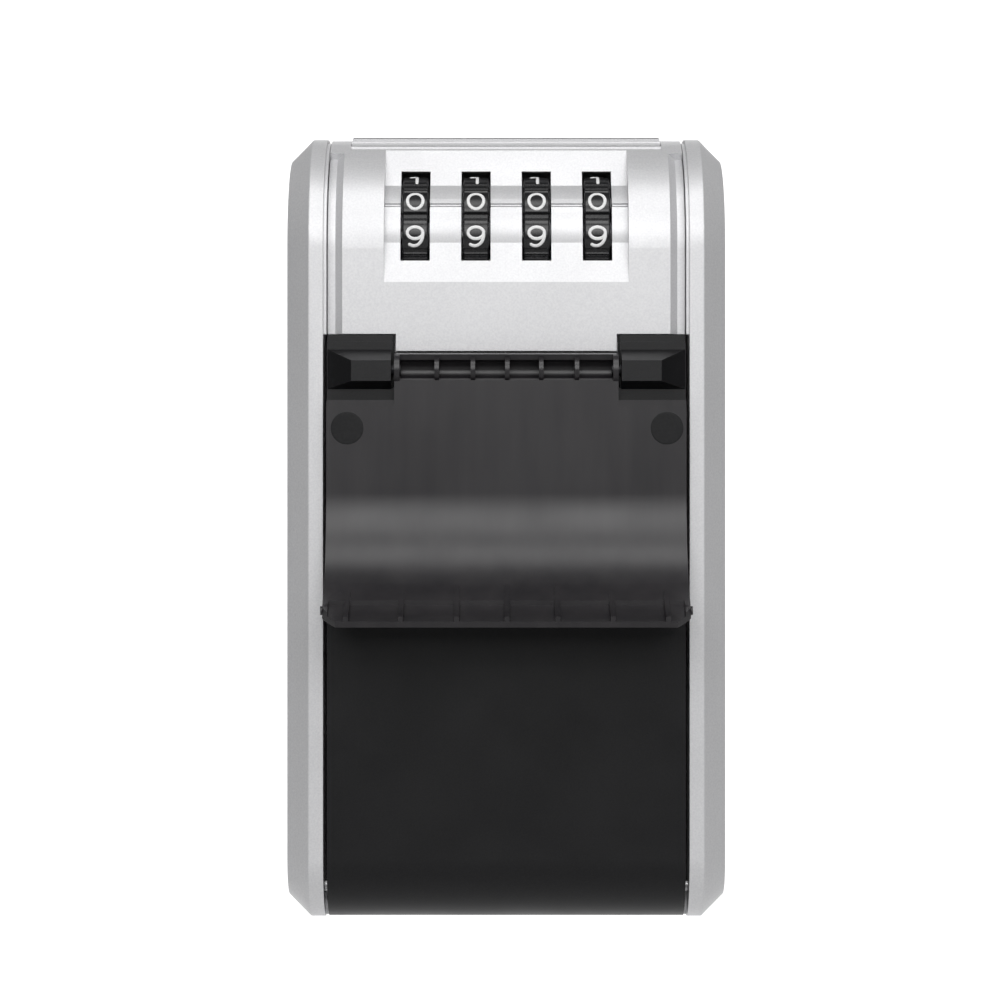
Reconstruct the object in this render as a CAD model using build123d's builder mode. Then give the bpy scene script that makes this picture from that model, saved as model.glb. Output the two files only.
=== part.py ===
"""Wall key safe: housing, hinged door with four code wheels, latch, and a weather shutter that hangs open.

Millimetres. X runs across, Z up, and the wall is the plane Y = 0. Side profiles are drawn as (depth, height),
where depth is counted backwards from the front face of the side rails.
"""

from build123d import *
from math import cos, radians, sin
import os

os.makedirs("parts", exist_ok=True)

# Overall size
WIDTH = 90.0
HEIGHT = 162.5
DEPTH = 48.0
HALF_W = WIDTH / 2
HALF_H = HEIGHT / 2
WHEEL_Z = HALF_H - 20.95
PANEL_BOTTOM_Z = HALF_H - 45.55
PIVOT_Z = PANEL_BOTTOM_Z - 4.0
PAST = 5.0
HALF_TURN = 180.0

SIDE = Plane(origin=(0, -DEPTH, 0), x_dir=(0, 1, 0), z_dir=(1, 0, 0))
FRONT = Plane(origin=(0, -DEPTH, 0), x_dir=(1, 0, 0), z_dir=(0, -1, 0))
LEVEL = Plane(origin=(0, -DEPTH, 0), x_dir=(1, 0, 0), z_dir=(0, 0, 1))

# Fits
RUN_GAP = 0.05
PRESS_GAP = 0.01
DOOR_GAP = 0.75

# Housing
RAIL_TOP_R = 24.5
RAIL_BOTTOM_R = 13.0
RAIL_CHAMFER = 4.6
RAIL_SOFTEN = 0.5
WALL = 3.0
BAY_HALF_W = 37.4
CHEEK_WALL = 3.4
CHEEK_POCKET_D = 16.0
CHEEK_POCKET_TOP = HALF_H - 8.25
CHEEK_POCKET_BOTTOM = 21.25 - HALF_H
TOP_WALL_D = 32.6
BOTTOM_WALL_D = 14.8
MOUNT_HOLE_R = 2.6
MOUNT_HEAD_R = 5.0
MOUNT_HEAD_SINK = 1.2
MOUNT_PITCH_X = 46.0
MOUNT_PITCH_Z = 96.0

# Door hinge
HINGE_D = 7.5
HINGE_Z = 7.05 - HALF_H
HINGE_PIN_R = 1.3
HINGE_PIN_BITE = 4.6
HINGE_PIN_OUT = BAY_HALF_W + HINGE_PIN_BITE
HINGE_PIN_IN = 31.0
HINGE_BOSS_IN = 31.6

# Door casting
DOOR_HALF_W = BAY_HALF_W - DOOR_GAP
PANEL_D = 2.4
PANEL_R = 24.5
PANEL_CENTRE = (PANEL_D + PANEL_R, HALF_H - PANEL_R)
BEVEL = 1.5
LEDGE_D = PANEL_D + BEVEL
PANEL_HALF_W = 35.1
BLOCK_ANGLE = 57.0
BLOCK_RAMP = 2.0
PANEL_OVER_LUG_Z = PANEL_BOTTOM_Z + 3.5
PLATE = 2.2
FLANGE = 3.05
DOOR_TOP_D = 27.0
FLANGE_D = 32.0
LOWER_FLANGE_D = 24.0
FLANGE_STEP_Z = WHEEL_Z - 17.3
DOOR_HEEL_Z = 3.85 - HALF_H
DOOR_HEEL_D = 15.5
HEEL_T = 2.0
SHOULDER_D = 4.8
TROUGH_SEAT_D = 5.0
TROUGH_SEAT_Z = PANEL_BOTTOM_Z - 10.3
SEAT_IN = 22.6
CAVITY_LOW_Z = 15.25 - HALF_H
CAVITY_SPLIT_Z = WHEEL_Z - 19.3
INNER_LOW = (6.1, WHEEL_Z - 11.3)
INNER_KNEE = (7.2, WHEEL_Z - 2.8)
INNER_BULGE_R = 9.8
INNER_BULGE_END = (13.2, WHEEL_Z + 8.7)
INNER_HIGH = (17.2, WHEEL_Z + 16.0)
INNER_TOP = (21.5, WHEEL_Z + 17.3)
BAY_ANGLE = 70.0

# Dial recess
RECESS_HALF_W = 25.1
WHEEL_D = 17.0
BULGE_R = 11.5
RECESS_LOW = (PANEL_D, WHEEL_Z - 10.5)
RECESS_KNEE = (5.4, WHEEL_Z - 2.2)
BULGE_END = (11.2, WHEEL_Z + 10.1)
RECESS_HIGH = (15.0, WHEEL_Z + 17.7)
GROOVE_ANGLE = 29.5
GROOVE_W = 0.9
GROOVE_DEEP = 0.5
SLOT_W = 6.06
SLOT_LOW_Z = WHEEL_Z - 6.0
SLOT_HIGH_Z = WHEEL_Z + 13.2
WHEEL_ROOM = 0.4

# Stepped rabbet over the recess
RABBET_HALF_W = 32.5
RABBET_STEPS = (
    (18.0, HALF_H - 2.8),
    (18.0, HALF_H - 2.0),
    (21.5, HALF_H - 1.5),
    (21.5, HALF_H - 0.55),
    (24.5, HALF_H - 0.2),
)

# Wheels
WHEEL_R = 12.5
WHEEL_W = 5.3
WHEEL_PITCH = 12.5
WHEEL_COUNT = 4
PAD_COUNT = 10
PAD_ANGLE = 31.5
PAD_GAP_W = 2.3
PAD_GAP_DEEP = 1.1
WHEEL_BORE_R = 3.6
SHAFT_R = 1.5
SHAFT_HALF_L = 30.6
WEB_IN = 25.6
WEB_OUT = 28.4
WEB_BACK_D = 22.0
WEB_LOW_Z = WHEEL_Z - 8.3
WEB_HIGH_Z = WHEEL_Z + 8.7
CLIP_R = 3.0
CLIP_T = 0.8
CLIP_X = 29.0
CLIP_SEAT_R = 1.2
CLIP_MOUTH_HALF = 0.9

# Code hubs
HUB_R = 5.6
HUB_FLAT = 2.4
HUB_L = 3.35

# Latch
LATCH_D = 30.2
SHEET = 1.2
LATCH_HALF_W = 28.0
LATCH_LOW_Z = WHEEL_Z + 1.2
LATCH_LEG_Z = WHEEL_Z + 3.7
LATCH_LEG_IN = 24.0
LATCH_HIGH_Z = HALF_H - 3.05
LATCH_TAB_D = 27.6
LATCH_TAB_HALF_W = 30.0
TONGUE_X = 22.0
TONGUE_W = 8.0
TONGUE_LOW_Z = HALF_H - 8.25
TONGUE_ARM = 2.0
TONGUE_TOP_Z = HALF_H - 3.55
STRIKE_D = 32.9
STRIKE_T = 1.5
TONGUE_GAP = 0.4
TONGUE_D = STRIKE_D + STRIKE_T + TONGUE_GAP
TONGUE_T = 2.0
EAR_Z = WHEEL_Z - 2.3
EAR_D = 26.0
EAR_OUT = 32.4
FENCE_Z = WHEEL_Z + 5.9
FENCE_T = 2.0
FENCE_STRIP_T = 0.8
FENCE_STRIP_H = 6.0
FENCE_HALF_W = 25.0
FENCE_TIP_D = 15.5
FINGER_IN = 3.05
FINGER_W = 2.5

# Latch springs
SPRING_X = 30.2
SPRING_D = 28.4
SPRING_MEAN_R = 1.7
SPRING_WIRE_R = 0.26
SPRING_TURNS = 5.0
SPRING_FOOT_Z = WHEEL_Z - 12.8
SHELF_T = 1.8
SHELF_IN = 28.0
SHELF_D = 25.6
SHELF_END_D = 31.0

# Release bar
BAR_HALF_W = 32.5
BAR_D = 27.4
BAR_BACK_D = 32.1
BAR_CROWN_Z = HALF_H + 1.1
BAR_EDGE_Z = HALF_H + 0.65
BAR_SCREW_X = 14.0
BAR_SCREW_D = 28.65
BAR_SCREW_R = 0.8
BAR_SCREW_HEAD_R = 1.4
BAR_SCREW_BITE = 2.4
BAR_END_R = 1.2

# Strike
STRIKE_LEG_T = 1.2
STRIKE_LOW_Z = HALF_H - 5.55
STRIKE_BACK_GAP = 0.8
STRIKE_BACK_D = DEPTH - WALL - STRIKE_BACK_GAP
STRIKE_HALF_W = 31.0
STRIKE_WINDOW_W = 10.0
STRIKE_WINDOW_ROOM = 1.6
STRIKE_WINDOW_D = TONGUE_D + TONGUE_T + STRIKE_WINDOW_ROOM
STRIKE_SCREW_X = 10.0
STRIKE_SCREW_IN = 3.2
STRIKE_SCREW_D = STRIKE_BACK_D - STRIKE_SCREW_IN

# Mechanism cover on the back of the door
BACK_D = 31.9
BACK_HALF_W = 33.3
BACK_LOW_Z = WHEEL_Z - 19.3
BACK_HIGH_Z = WHEEL_Z + 12.1
BACK_NOTCH_W = 10.0
BACK_NOTCH_Z = WHEEL_Z + 9.0
BOSS_X = 31.5
BOSS_LOW_Z = WHEEL_Z - 15.8
BOSS_HIGH_Z = WHEEL_Z + 7.7
BOSS_R = 2.2
BOSS_HIGH_ROOT_D = 6.6
PILOT_DEEP = 7.0

# Reset lever
LEVER_Z = WHEEL_Z - 8.3
LEVER_PIN_R = 1.6
LEVER_HUB_R = 3.6
LEVER_ARM_L = 15.0
LEVER_ARM_W = 4.0
LEVER_T = 1.8
LEVER_CAM_R = 2.8
LEVER_CAM_T = 1.0

# Screws
SCREW_R = 1.1
SCREW_HEAD_R = 2.1
SCREW_HEAD_T = 1.2
SCREW_REACH = 1.2
SCREW_TIP_GAP = 0.5

# Detent spring
DETENT_T = 0.5
DETENT_BASE_Z = WHEEL_Z - 15.7
DETENT_D = (8.0, 13.5)
DETENT_TIP = (17.0, WHEEL_Z - 13.3)
DETENT_END = (20.0, WHEEL_Z - 14.3)
DETENT_W = 4.0
DETENT_HALF_W = 22.0
DETENT_SCREW_X = 12.5
DETENT_SCREW_D = 10.5
DETENT_BITE = 1.8
DETENT_PILOT = 2.0
SHELF_SIDE = 1.0
ROOT = 1.0
SHELF_LOW_Z = WHEEL_Z - 18.3
SHELF_BACK_D = 14.5

# Lower cover
COVER_D = 0.3
COVER_T = 1.8
COVER_HALF_W = DOOR_HALF_W
COVER_LIP_ANGLE = 75.0
COVER_CENTRE = (COVER_D + RAIL_BOTTOM_R, RAIL_BOTTOM_R - HALF_H)
COVER_RIM_T = 1.25
COVER_RIM_D = 4.5
COVER_TOP_Z = PANEL_BOTTOM_Z - 0.2
TROUGH_R = 3.7
TROUGH_HALF_W = 23.2
COVER_SCREW_X = 28.0
COVER_SCREW_LOW_Z = 31.25 - HALF_H
COVER_SCREW_HIGH_Z = PANEL_BOTTOM_Z - 20.7
COVER_BOSS_R = 2.6
COVER_SCREW_TIP_D = 1.2
COVER_PIN_ROOM = 0.5
BAND_D = 4.6

# Shutter lugs
LUG_IN = 23.4
LUG_EDGE = 0.15
LUG_OUT = COVER_HALF_W - LUG_EDGE
LUG_TIP_OUT = 31.5
LUG_FRONT_D = -4.2
LUG_BASE = (PIVOT_Z - 3.9, PIVOT_Z + 4.2)
LUG_TIP = (PIVOT_Z - 2.4, PIVOT_Z + 1.8)
TAB_IN = 22.9
TAB_LOW_Z = PANEL_BOTTOM_Z - 9.9
TAB_STEP_Z = PANEL_BOTTOM_Z + 1.8
TAB_STEP_D = 2.2
TAB_TOP_Z = PANEL_BOTTOM_Z + 3.3

# Shutter
PIVOT_D = -0.5
SHUTTER_T = 1.6
SHUTTER_HALF_W = COVER_HALF_W - RUN_GAP
SHUTTER_FACE = COVER_D - PIVOT_D
SHUTTER_R = 26.6
SHUTTER_CENTRE = (SHUTTER_FACE + SHUTTER_R, PANEL_CENTRE[1] - PIVOT_Z)
JOGGLE_ANGLE = 59.5
JOGGLE_RAMP = 1.0
LIP_R = 27.0
LIP_T = 1.2
LIP_ANGLE = 80.0
LIP_CORNER_ANGLE = 68.0
LIP_CORNER_HALF_W = 33.7
RIM_W = 1.1
BARREL_R = 3.4
BARREL_T = 1.2
BARREL_HALF_L = 22.8
BARREL_OPEN = (-65.0, 55.0)
BARREL_END_T = 1.1
BARREL_RIB_T = 0.9
BARREL_RIB_X = (-14.15, -6.8, 0.2, 7.1, 14.35)
NOTCH_V = 6.2
REBATE_V = 7.4
REBATE_DEEP = 0.8
LIP_RIB_X = (-31.7, -20.9, -9.85, 0.1, 10.1, 21.0, 31.9)
LIP_RIB_W = 1.0
LIP_RIB_R = 24.8
RIB_ROOT = 0.5
MIDDLE_RIB_X = 15.0
OUTER_RIB_ANGLE = 52.0
MIDDLE_RIB_ANGLE = 48.0
NUB_ANGLE = 65.0
NUB_R = 0.9
NUB_CENTRE_R = 25.9
NUB_RISE = 0.4
NUB_HALF_W = SHUTTER_HALF_W + NUB_RISE
PIVOT_PIN_R = 1.2
PIVOT_PIN_IN = 21.5
PIVOT_PIN_OUT = 29.0

SHUT_SIDE = Plane(origin=(0, PIVOT_D - DEPTH, PIVOT_Z), x_dir=(0, -1, 0), z_dir=(1, 0, 0))


def arc_point(centre, radius, degrees):
    """Point on a circle of a side profile, the angle counted from the front upwards."""
    return (centre[0] - radius * cos(radians(degrees)), centre[1] + radius * sin(radians(degrees)))


wheel_x = [(i - (WHEEL_COUNT - 1) / 2) * WHEEL_PITCH for i in range(WHEEL_COUNT)]
wheel_axis = (WHEEL_D, WHEEL_Z)
rail_top = (RAIL_TOP_R, HALF_H - RAIL_TOP_R)
rail_bottom = (RAIL_BOTTOM_R, RAIL_BOTTOM_R - HALF_H)
latch_back_d = LATCH_D + SHEET
back_rear_d = BACK_D + SHEET
plate_back_d = PANEL_D + PLATE
bay_r = PANEL_R - PLATE
bay_end = arc_point(PANEL_CENTRE, bay_r, BAY_ANGLE)
boss_places = [(x, z) for x in (-BOSS_X, BOSS_X) for z in (BOSS_LOW_Z, BOSS_HIGH_Z)]
cover_screw_heights = (COVER_SCREW_LOW_Z, COVER_SCREW_HIGH_Z)
cover_screw_places = [(x, z) for x in (-COVER_SCREW_X, COVER_SCREW_X) for z in cover_screw_heights]
spring_rise = EAR_Z - SPRING_FOOT_Z - 2 * SPRING_WIRE_R
first_gap = HALF_TURN - PAD_ANGLE + HALF_TURN / PAD_COUNT
barrel_mid = HALF_TURN + (BARREL_OPEN[0] + BARREL_OPEN[1]) / 2
corner_start_d = PIVOT_D - arc_point(SHUTTER_CENTRE, LIP_R, LIP_CORNER_ANGLE)[0]
corner_end_d = PIVOT_D - arc_point(SHUTTER_CENTRE, LIP_R, LIP_ANGLE)[0]

# Die-cast housing: two chamfered side rails joined by the wall plate and the short top and bottom walls
with BuildPart() as housing_shell:
    with BuildSketch(SIDE):
        with BuildLine():
            Line((0, rail_bottom[1]), (0, rail_top[1]))
            ThreePointArc((0, rail_top[1]), arc_point(rail_top, RAIL_TOP_R, 45), (RAIL_TOP_R, HALF_H))
            Line((RAIL_TOP_R, HALF_H), (DEPTH, HALF_H))
            Line((DEPTH, HALF_H), (DEPTH, -HALF_H))
            Line((DEPTH, -HALF_H), (RAIL_BOTTOM_R, -HALF_H))
            ThreePointArc(
                (RAIL_BOTTOM_R, -HALF_H), arc_point(rail_bottom, RAIL_BOTTOM_R, -45), (0, rail_bottom[1])
            )
        make_face()
    extrude(amount=HALF_W, both=True)
    outer_rim = housing_shell.edges().filter_by(
        lambda e: abs(abs(e.center().X) - HALF_W) < RUN_GAP and e.center().Y < -RUN_GAP
    )
    chamfer(outer_rim, length=RAIL_CHAMFER)
    rail_rim = housing_shell.edges().filter_by(
        lambda e: abs(abs(e.center().X) - HALF_W + RAIL_CHAMFER) < RUN_GAP and e.center().Y < -RUN_GAP
    )
    fillet(rail_rim, radius=RAIL_SOFTEN)
    with BuildSketch(SIDE):
        with BuildLine():
            Polyline(
                (-PAST, HALF_H + PAST),
                (TOP_WALL_D, HALF_H + PAST),
                (TOP_WALL_D, HALF_H - WALL),
                (DEPTH - WALL, HALF_H - WALL),
                (DEPTH - WALL, WALL - HALF_H),
                (BOTTOM_WALL_D, WALL - HALF_H),
                (BOTTOM_WALL_D, -HALF_H - PAST),
                (-PAST, -HALF_H - PAST),
                close=True,
            )
        make_face()
    extrude(amount=BAY_HALF_W, both=True, mode=Mode.SUBTRACT)
    with BuildSketch(SIDE):
        with BuildLine():
            Polyline(
                (CHEEK_POCKET_D, CHEEK_POCKET_BOTTOM),
                (CHEEK_POCKET_D, CHEEK_POCKET_TOP),
                (DEPTH - WALL, CHEEK_POCKET_TOP),
                (DEPTH - WALL, CHEEK_POCKET_BOTTOM),
                close=True,
            )
        make_face()
    extrude(amount=HALF_W - CHEEK_WALL, both=True, mode=Mode.SUBTRACT)
    with BuildSketch(SIDE.offset(-HINGE_PIN_OUT)):
        with Locations((HINGE_D, HINGE_Z)):
            Circle(HINGE_PIN_R + PRESS_GAP)
    extrude(amount=2 * HINGE_PIN_OUT, mode=Mode.SUBTRACT)
    with BuildSketch(FRONT.offset(-DEPTH)):
        with GridLocations(MOUNT_PITCH_X, MOUNT_PITCH_Z, 2, 2):
            Circle(MOUNT_HOLE_R)
    extrude(amount=WALL, mode=Mode.SUBTRACT)
    with BuildSketch(FRONT.offset(WALL - DEPTH)):
        with GridLocations(MOUNT_PITCH_X, MOUNT_PITCH_Z, 2, 2):
            Circle(MOUNT_HEAD_R)
    extrude(amount=-MOUNT_HEAD_SINK, mode=Mode.SUBTRACT)
    with BuildSketch(LEVEL.offset(HALF_H - WALL)):
        with Locations((-STRIKE_SCREW_X, STRIKE_SCREW_D), (STRIKE_SCREW_X, STRIKE_SCREW_D)):
            Circle(SCREW_R + PRESS_GAP)
    extrude(amount=WALL - SCREW_REACH, mode=Mode.SUBTRACT)
housing_shell.part.label = "housing_shell"

# Hinge pins of the door, pressed into the cheeks
with BuildPart() as door_hinge_pins:
    with BuildSketch(SIDE.offset(HINGE_PIN_IN), SIDE.offset(-HINGE_PIN_OUT)):
        with Locations((HINGE_D, HINGE_Z)):
            Circle(HINGE_PIN_R)
    extrude(amount=HINGE_PIN_OUT - HINGE_PIN_IN)
door_hinge_pins.part.label = "door_hinge_pins"

# Strike: folded strip under the top wall, its front lip behind which the tongues hook, with a window for each
with BuildPart() as strike_plate:
    with BuildSketch(SIDE):
        with BuildLine():
            Polyline(
                (STRIKE_D, STRIKE_LOW_Z),
                (STRIKE_D, HALF_H - WALL),
                (STRIKE_BACK_D, HALF_H - WALL),
                (STRIKE_BACK_D, HALF_H - WALL - STRIKE_LEG_T),
                (STRIKE_D + STRIKE_T, HALF_H - WALL - STRIKE_LEG_T),
                (STRIKE_D + STRIKE_T, STRIKE_LOW_Z),
                close=True,
            )
        make_face()
    extrude(amount=STRIKE_HALF_W, both=True)
    with BuildSketch(LEVEL.offset(HALF_H - WALL)):
        with Locations(
            (-TONGUE_X, (STRIKE_D + STRIKE_T + STRIKE_WINDOW_D) / 2),
            (TONGUE_X, (STRIKE_D + STRIKE_T + STRIKE_WINDOW_D) / 2),
        ):
            Rectangle(STRIKE_WINDOW_W, STRIKE_WINDOW_D - STRIKE_D - STRIKE_T)
        with Locations((-STRIKE_SCREW_X, STRIKE_SCREW_D), (STRIKE_SCREW_X, STRIKE_SCREW_D)):
            Circle(SCREW_R + RUN_GAP)
    extrude(amount=-STRIKE_LEG_T, mode=Mode.SUBTRACT)
strike_plate.part.label = "strike_plate"

# Strike screws, driven up into the top wall
with BuildPart() as strike_screws:
    with BuildSketch(LEVEL.offset(HALF_H - WALL - STRIKE_LEG_T)):
        with Locations((-STRIKE_SCREW_X, STRIKE_SCREW_D), (STRIKE_SCREW_X, STRIKE_SCREW_D)):
            Circle(SCREW_HEAD_R)
    extrude(amount=-SCREW_HEAD_T)
    with BuildSketch(LEVEL.offset(HALF_H - WALL - STRIKE_LEG_T)):
        with Locations((-STRIKE_SCREW_X, STRIKE_SCREW_D), (STRIKE_SCREW_X, STRIKE_SCREW_D)):
            Circle(SCREW_R)
    extrude(amount=STRIKE_LEG_T + WALL - SCREW_REACH)
strike_screws.part.label = "strike_screws"

# Die-cast door: front plate with the dial recess, side flanges, webs, shelves and screw bosses
with BuildPart() as door_casting:
    # shoulders and flanges at full width
    with BuildSketch(SIDE):
        with BuildLine():
            Line((SHOULDER_D, COVER_CENTRE[1]), (SHOULDER_D, PANEL_OVER_LUG_Z))
            Line((SHOULDER_D, PANEL_OVER_LUG_Z), (LEDGE_D, PANEL_OVER_LUG_Z))
            Line((LEDGE_D, PANEL_OVER_LUG_Z), (LEDGE_D, PANEL_CENTRE[1]))
            ThreePointArc(
                (LEDGE_D, PANEL_CENTRE[1]),
                arc_point(PANEL_CENTRE, PANEL_R - BEVEL, 45),
                (PANEL_CENTRE[0], HALF_H - BEVEL),
            )
            Line((PANEL_CENTRE[0], HALF_H - BEVEL), (FLANGE_D, HALF_H - BEVEL))
            Line((FLANGE_D, HALF_H - BEVEL), (FLANGE_D, DOOR_HEEL_Z))
            Line((FLANGE_D, DOOR_HEEL_Z), (DOOR_HEEL_D, DOOR_HEEL_Z))
            Line(
                (DOOR_HEEL_D, DOOR_HEEL_Z),
                (COVER_CENTRE[0], COVER_CENTRE[1] - COVER_CENTRE[0] + SHOULDER_D),
            )
            ThreePointArc(
                (COVER_CENTRE[0], COVER_CENTRE[1] - COVER_CENTRE[0] + SHOULDER_D),
                arc_point(COVER_CENTRE, COVER_CENTRE[0] - SHOULDER_D, -45),
                (SHOULDER_D, COVER_CENTRE[1]),
            )
        make_face()
    extrude(amount=DOOR_HALF_W, both=True)
    # raised middle, bevelled along both sides
    with BuildSketch(SIDE):
        with BuildLine():
            Line((PANEL_D, COVER_CENTRE[1]), (PANEL_D, PANEL_CENTRE[1]))
            ThreePointArc(
                (PANEL_D, PANEL_CENTRE[1]),
                arc_point(PANEL_CENTRE, PANEL_R, 45),
                (PANEL_CENTRE[0], HALF_H),
            )
            Line((PANEL_CENTRE[0], HALF_H), (DOOR_TOP_D, HALF_H))
            Line((DOOR_TOP_D, HALF_H), (DOOR_TOP_D, DOOR_HEEL_Z))
            Line((DOOR_TOP_D, DOOR_HEEL_Z), (DOOR_HEEL_D, DOOR_HEEL_Z))
            Line((DOOR_HEEL_D, DOOR_HEEL_Z), (COVER_CENTRE[0], COVER_CENTRE[1] - COVER_CENTRE[0] + PANEL_D))
            ThreePointArc(
                (COVER_CENTRE[0], COVER_CENTRE[1] - COVER_CENTRE[0] + PANEL_D),
                arc_point(COVER_CENTRE, COVER_CENTRE[0] - PANEL_D, -45),
                (PANEL_D, COVER_CENTRE[1]),
            )
        make_face()
    raised = extrude(amount=PANEL_HALF_W, both=True, mode=Mode.PRIVATE)
    raised_rim = raised.edges().filter_by(
        lambda e: abs(abs(e.center().X) - PANEL_HALF_W) < RUN_GAP
        and e.center().Y < PANEL_CENTRE[0] - DEPTH - RUN_GAP
        and e.center().Z > -HALF_H / 2
    )
    add(raised.chamfer(BEVEL, None, raised_rim))
    # full-width corner blocks beside the rabbet
    with BuildSketch(SIDE):
        with BuildLine():
            ThreePointArc(
                arc_point(PANEL_CENTRE, PANEL_R, BLOCK_ANGLE),
                arc_point(PANEL_CENTRE, PANEL_R, (BLOCK_ANGLE + 90) / 2),
                (PANEL_CENTRE[0], HALF_H),
            )
            Polyline(
                (PANEL_CENTRE[0], HALF_H),
                (DOOR_TOP_D, HALF_H),
                (DOOR_TOP_D, HALF_H - 2 * BEVEL),
                (PANEL_CENTRE[0], HALF_H - 2 * BEVEL),
            )
            ThreePointArc(
                (PANEL_CENTRE[0], HALF_H - 2 * BEVEL),
                arc_point(PANEL_CENTRE, PANEL_R - 2 * BEVEL, (BLOCK_ANGLE + 90) / 2),
                arc_point(PANEL_CENTRE, PANEL_R - 2 * BEVEL, BLOCK_ANGLE + BLOCK_RAMP),
            )
            Line(
                arc_point(PANEL_CENTRE, PANEL_R - 2 * BEVEL, BLOCK_ANGLE + BLOCK_RAMP),
                arc_point(PANEL_CENTRE, PANEL_R, BLOCK_ANGLE),
            )
        make_face()
    extrude(amount=DOOR_HALF_W, both=True)
    # seat of the lower cover's trough and of its lugs
    with BuildSketch(FRONT):
        with BuildLine():
            Polyline(
                (-HALF_W, TROUGH_SEAT_Z),
                (-HALF_W, PANEL_OVER_LUG_Z),
                (-SEAT_IN, PANEL_OVER_LUG_Z),
                (-SEAT_IN, PANEL_BOTTOM_Z),
                (SEAT_IN, PANEL_BOTTOM_Z),
                (SEAT_IN, PANEL_OVER_LUG_Z),
                (HALF_W, PANEL_OVER_LUG_Z),
                (HALF_W, TROUGH_SEAT_Z),
                close=True,
            )
        make_face()
    extrude(amount=-TROUGH_SEAT_D, mode=Mode.SUBTRACT)
    # space behind the lower plate
    with BuildSketch(SIDE):
        with BuildLine():
            Polyline(
                (plate_back_d, CAVITY_LOW_Z),
                (plate_back_d, TROUGH_SEAT_Z - PLATE),
                (TROUGH_SEAT_D + PLATE, TROUGH_SEAT_Z - PLATE),
                (TROUGH_SEAT_D + PLATE, CAVITY_SPLIT_Z),
                (DEPTH, CAVITY_SPLIT_Z),
                (DEPTH, CAVITY_LOW_Z),
                close=True,
            )
        make_face()
    extrude(amount=DOOR_HALF_W - FLANGE, both=True, mode=Mode.SUBTRACT)
    # curved heel between the hinge ears
    with BuildSketch(SIDE):
        with BuildLine():
            Line((plate_back_d, CAVITY_LOW_Z), (plate_back_d, COVER_CENTRE[1]))
            ThreePointArc(
                (plate_back_d, COVER_CENTRE[1]),
                arc_point(COVER_CENTRE, COVER_CENTRE[0] - plate_back_d, -45),
                (COVER_CENTRE[0], COVER_CENTRE[1] - COVER_CENTRE[0] + plate_back_d),
            )
            Polyline(
                (COVER_CENTRE[0], COVER_CENTRE[1] - COVER_CENTRE[0] + plate_back_d),
                (COVER_CENTRE[0], DOOR_HEEL_Z + HEEL_T),
                (DEPTH, DOOR_HEEL_Z + HEEL_T),
                (DEPTH, CAVITY_LOW_Z),
                (plate_back_d, CAVITY_LOW_Z),
            )
        make_face()
    extrude(amount=HINGE_BOSS_IN, both=True, mode=Mode.SUBTRACT)
    # space for the lock behind the dial recess
    with BuildSketch(SIDE):
        with BuildLine():
            Polyline(
                (DEPTH, CAVITY_SPLIT_Z),
                (INNER_LOW[0], CAVITY_SPLIT_Z),
                INNER_LOW,
                INNER_KNEE,
            )
            ThreePointArc(INNER_KNEE, arc_point(wheel_axis, INNER_BULGE_R, GROOVE_ANGLE), INNER_BULGE_END)
            Polyline(
                INNER_BULGE_END,
                INNER_HIGH,
                INNER_TOP,
                (DEPTH, INNER_TOP[1]),
                (DEPTH, CAVITY_SPLIT_Z),
            )
        make_face()
    extrude(amount=WEB_OUT, both=True, mode=Mode.SUBTRACT)
    # side bays beside the lock, under the curved panel
    with BuildSketch(SIDE.offset(WEB_OUT), SIDE.offset(FLANGE - DOOR_HALF_W)):
        with BuildLine():
            Line((DEPTH, CAVITY_SPLIT_Z), (plate_back_d, CAVITY_SPLIT_Z))
            Line((plate_back_d, CAVITY_SPLIT_Z), (plate_back_d, PANEL_CENTRE[1]))
            ThreePointArc(
                (plate_back_d, PANEL_CENTRE[1]),
                arc_point(PANEL_CENTRE, bay_r, BAY_ANGLE / 2),
                bay_end,
            )
            Line(bay_end, (DEPTH, bay_end[1]))
            Line((DEPTH, bay_end[1]), (DEPTH, CAVITY_SPLIT_Z))
        make_face()
    extrude(amount=DOOR_HALF_W - FLANGE - WEB_OUT, mode=Mode.SUBTRACT)
    # open back of the lock, with the latch and its release bar in it
    with BuildSketch(SIDE):
        with BuildLine():
            Polyline(
                (DOOR_TOP_D, CAVITY_SPLIT_Z),
                (DOOR_TOP_D, HALF_H + PAST),
                (DEPTH, HALF_H + PAST),
                (DEPTH, CAVITY_SPLIT_Z),
                close=True,
            )
        make_face()
    extrude(amount=DOOR_HALF_W - FLANGE, both=True, mode=Mode.SUBTRACT)
    # webs that carry the wheel shaft
    with BuildSketch(SIDE.offset(WEB_IN), SIDE.offset(-WEB_OUT)):
        with BuildLine():
            Polyline(
                (INNER_LOW[0], WEB_LOW_Z),
                (INNER_LOW[0], WHEEL_Z),
                (INNER_BULGE_END[0] - ROOT, WEB_HIGH_Z),
                (WEB_BACK_D, WEB_HIGH_Z),
                (WEB_BACK_D, WEB_LOW_Z),
                close=True,
            )
        make_face()
    extrude(amount=WEB_OUT - WEB_IN)
    # lower part of the deep flanges ends further forward
    with BuildSketch(SIDE):
        with BuildLine():
            Polyline(
                (LOWER_FLANGE_D, -HALF_H),
                (LOWER_FLANGE_D, FLANGE_STEP_Z - FLANGE_D + LOWER_FLANGE_D),
                (FLANGE_D, FLANGE_STEP_Z),
                (DEPTH, FLANGE_STEP_Z),
                (DEPTH, -HALF_H),
                close=True,
            )
        make_face()
    extrude(amount=HALF_W, both=True, mode=Mode.SUBTRACT)
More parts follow.
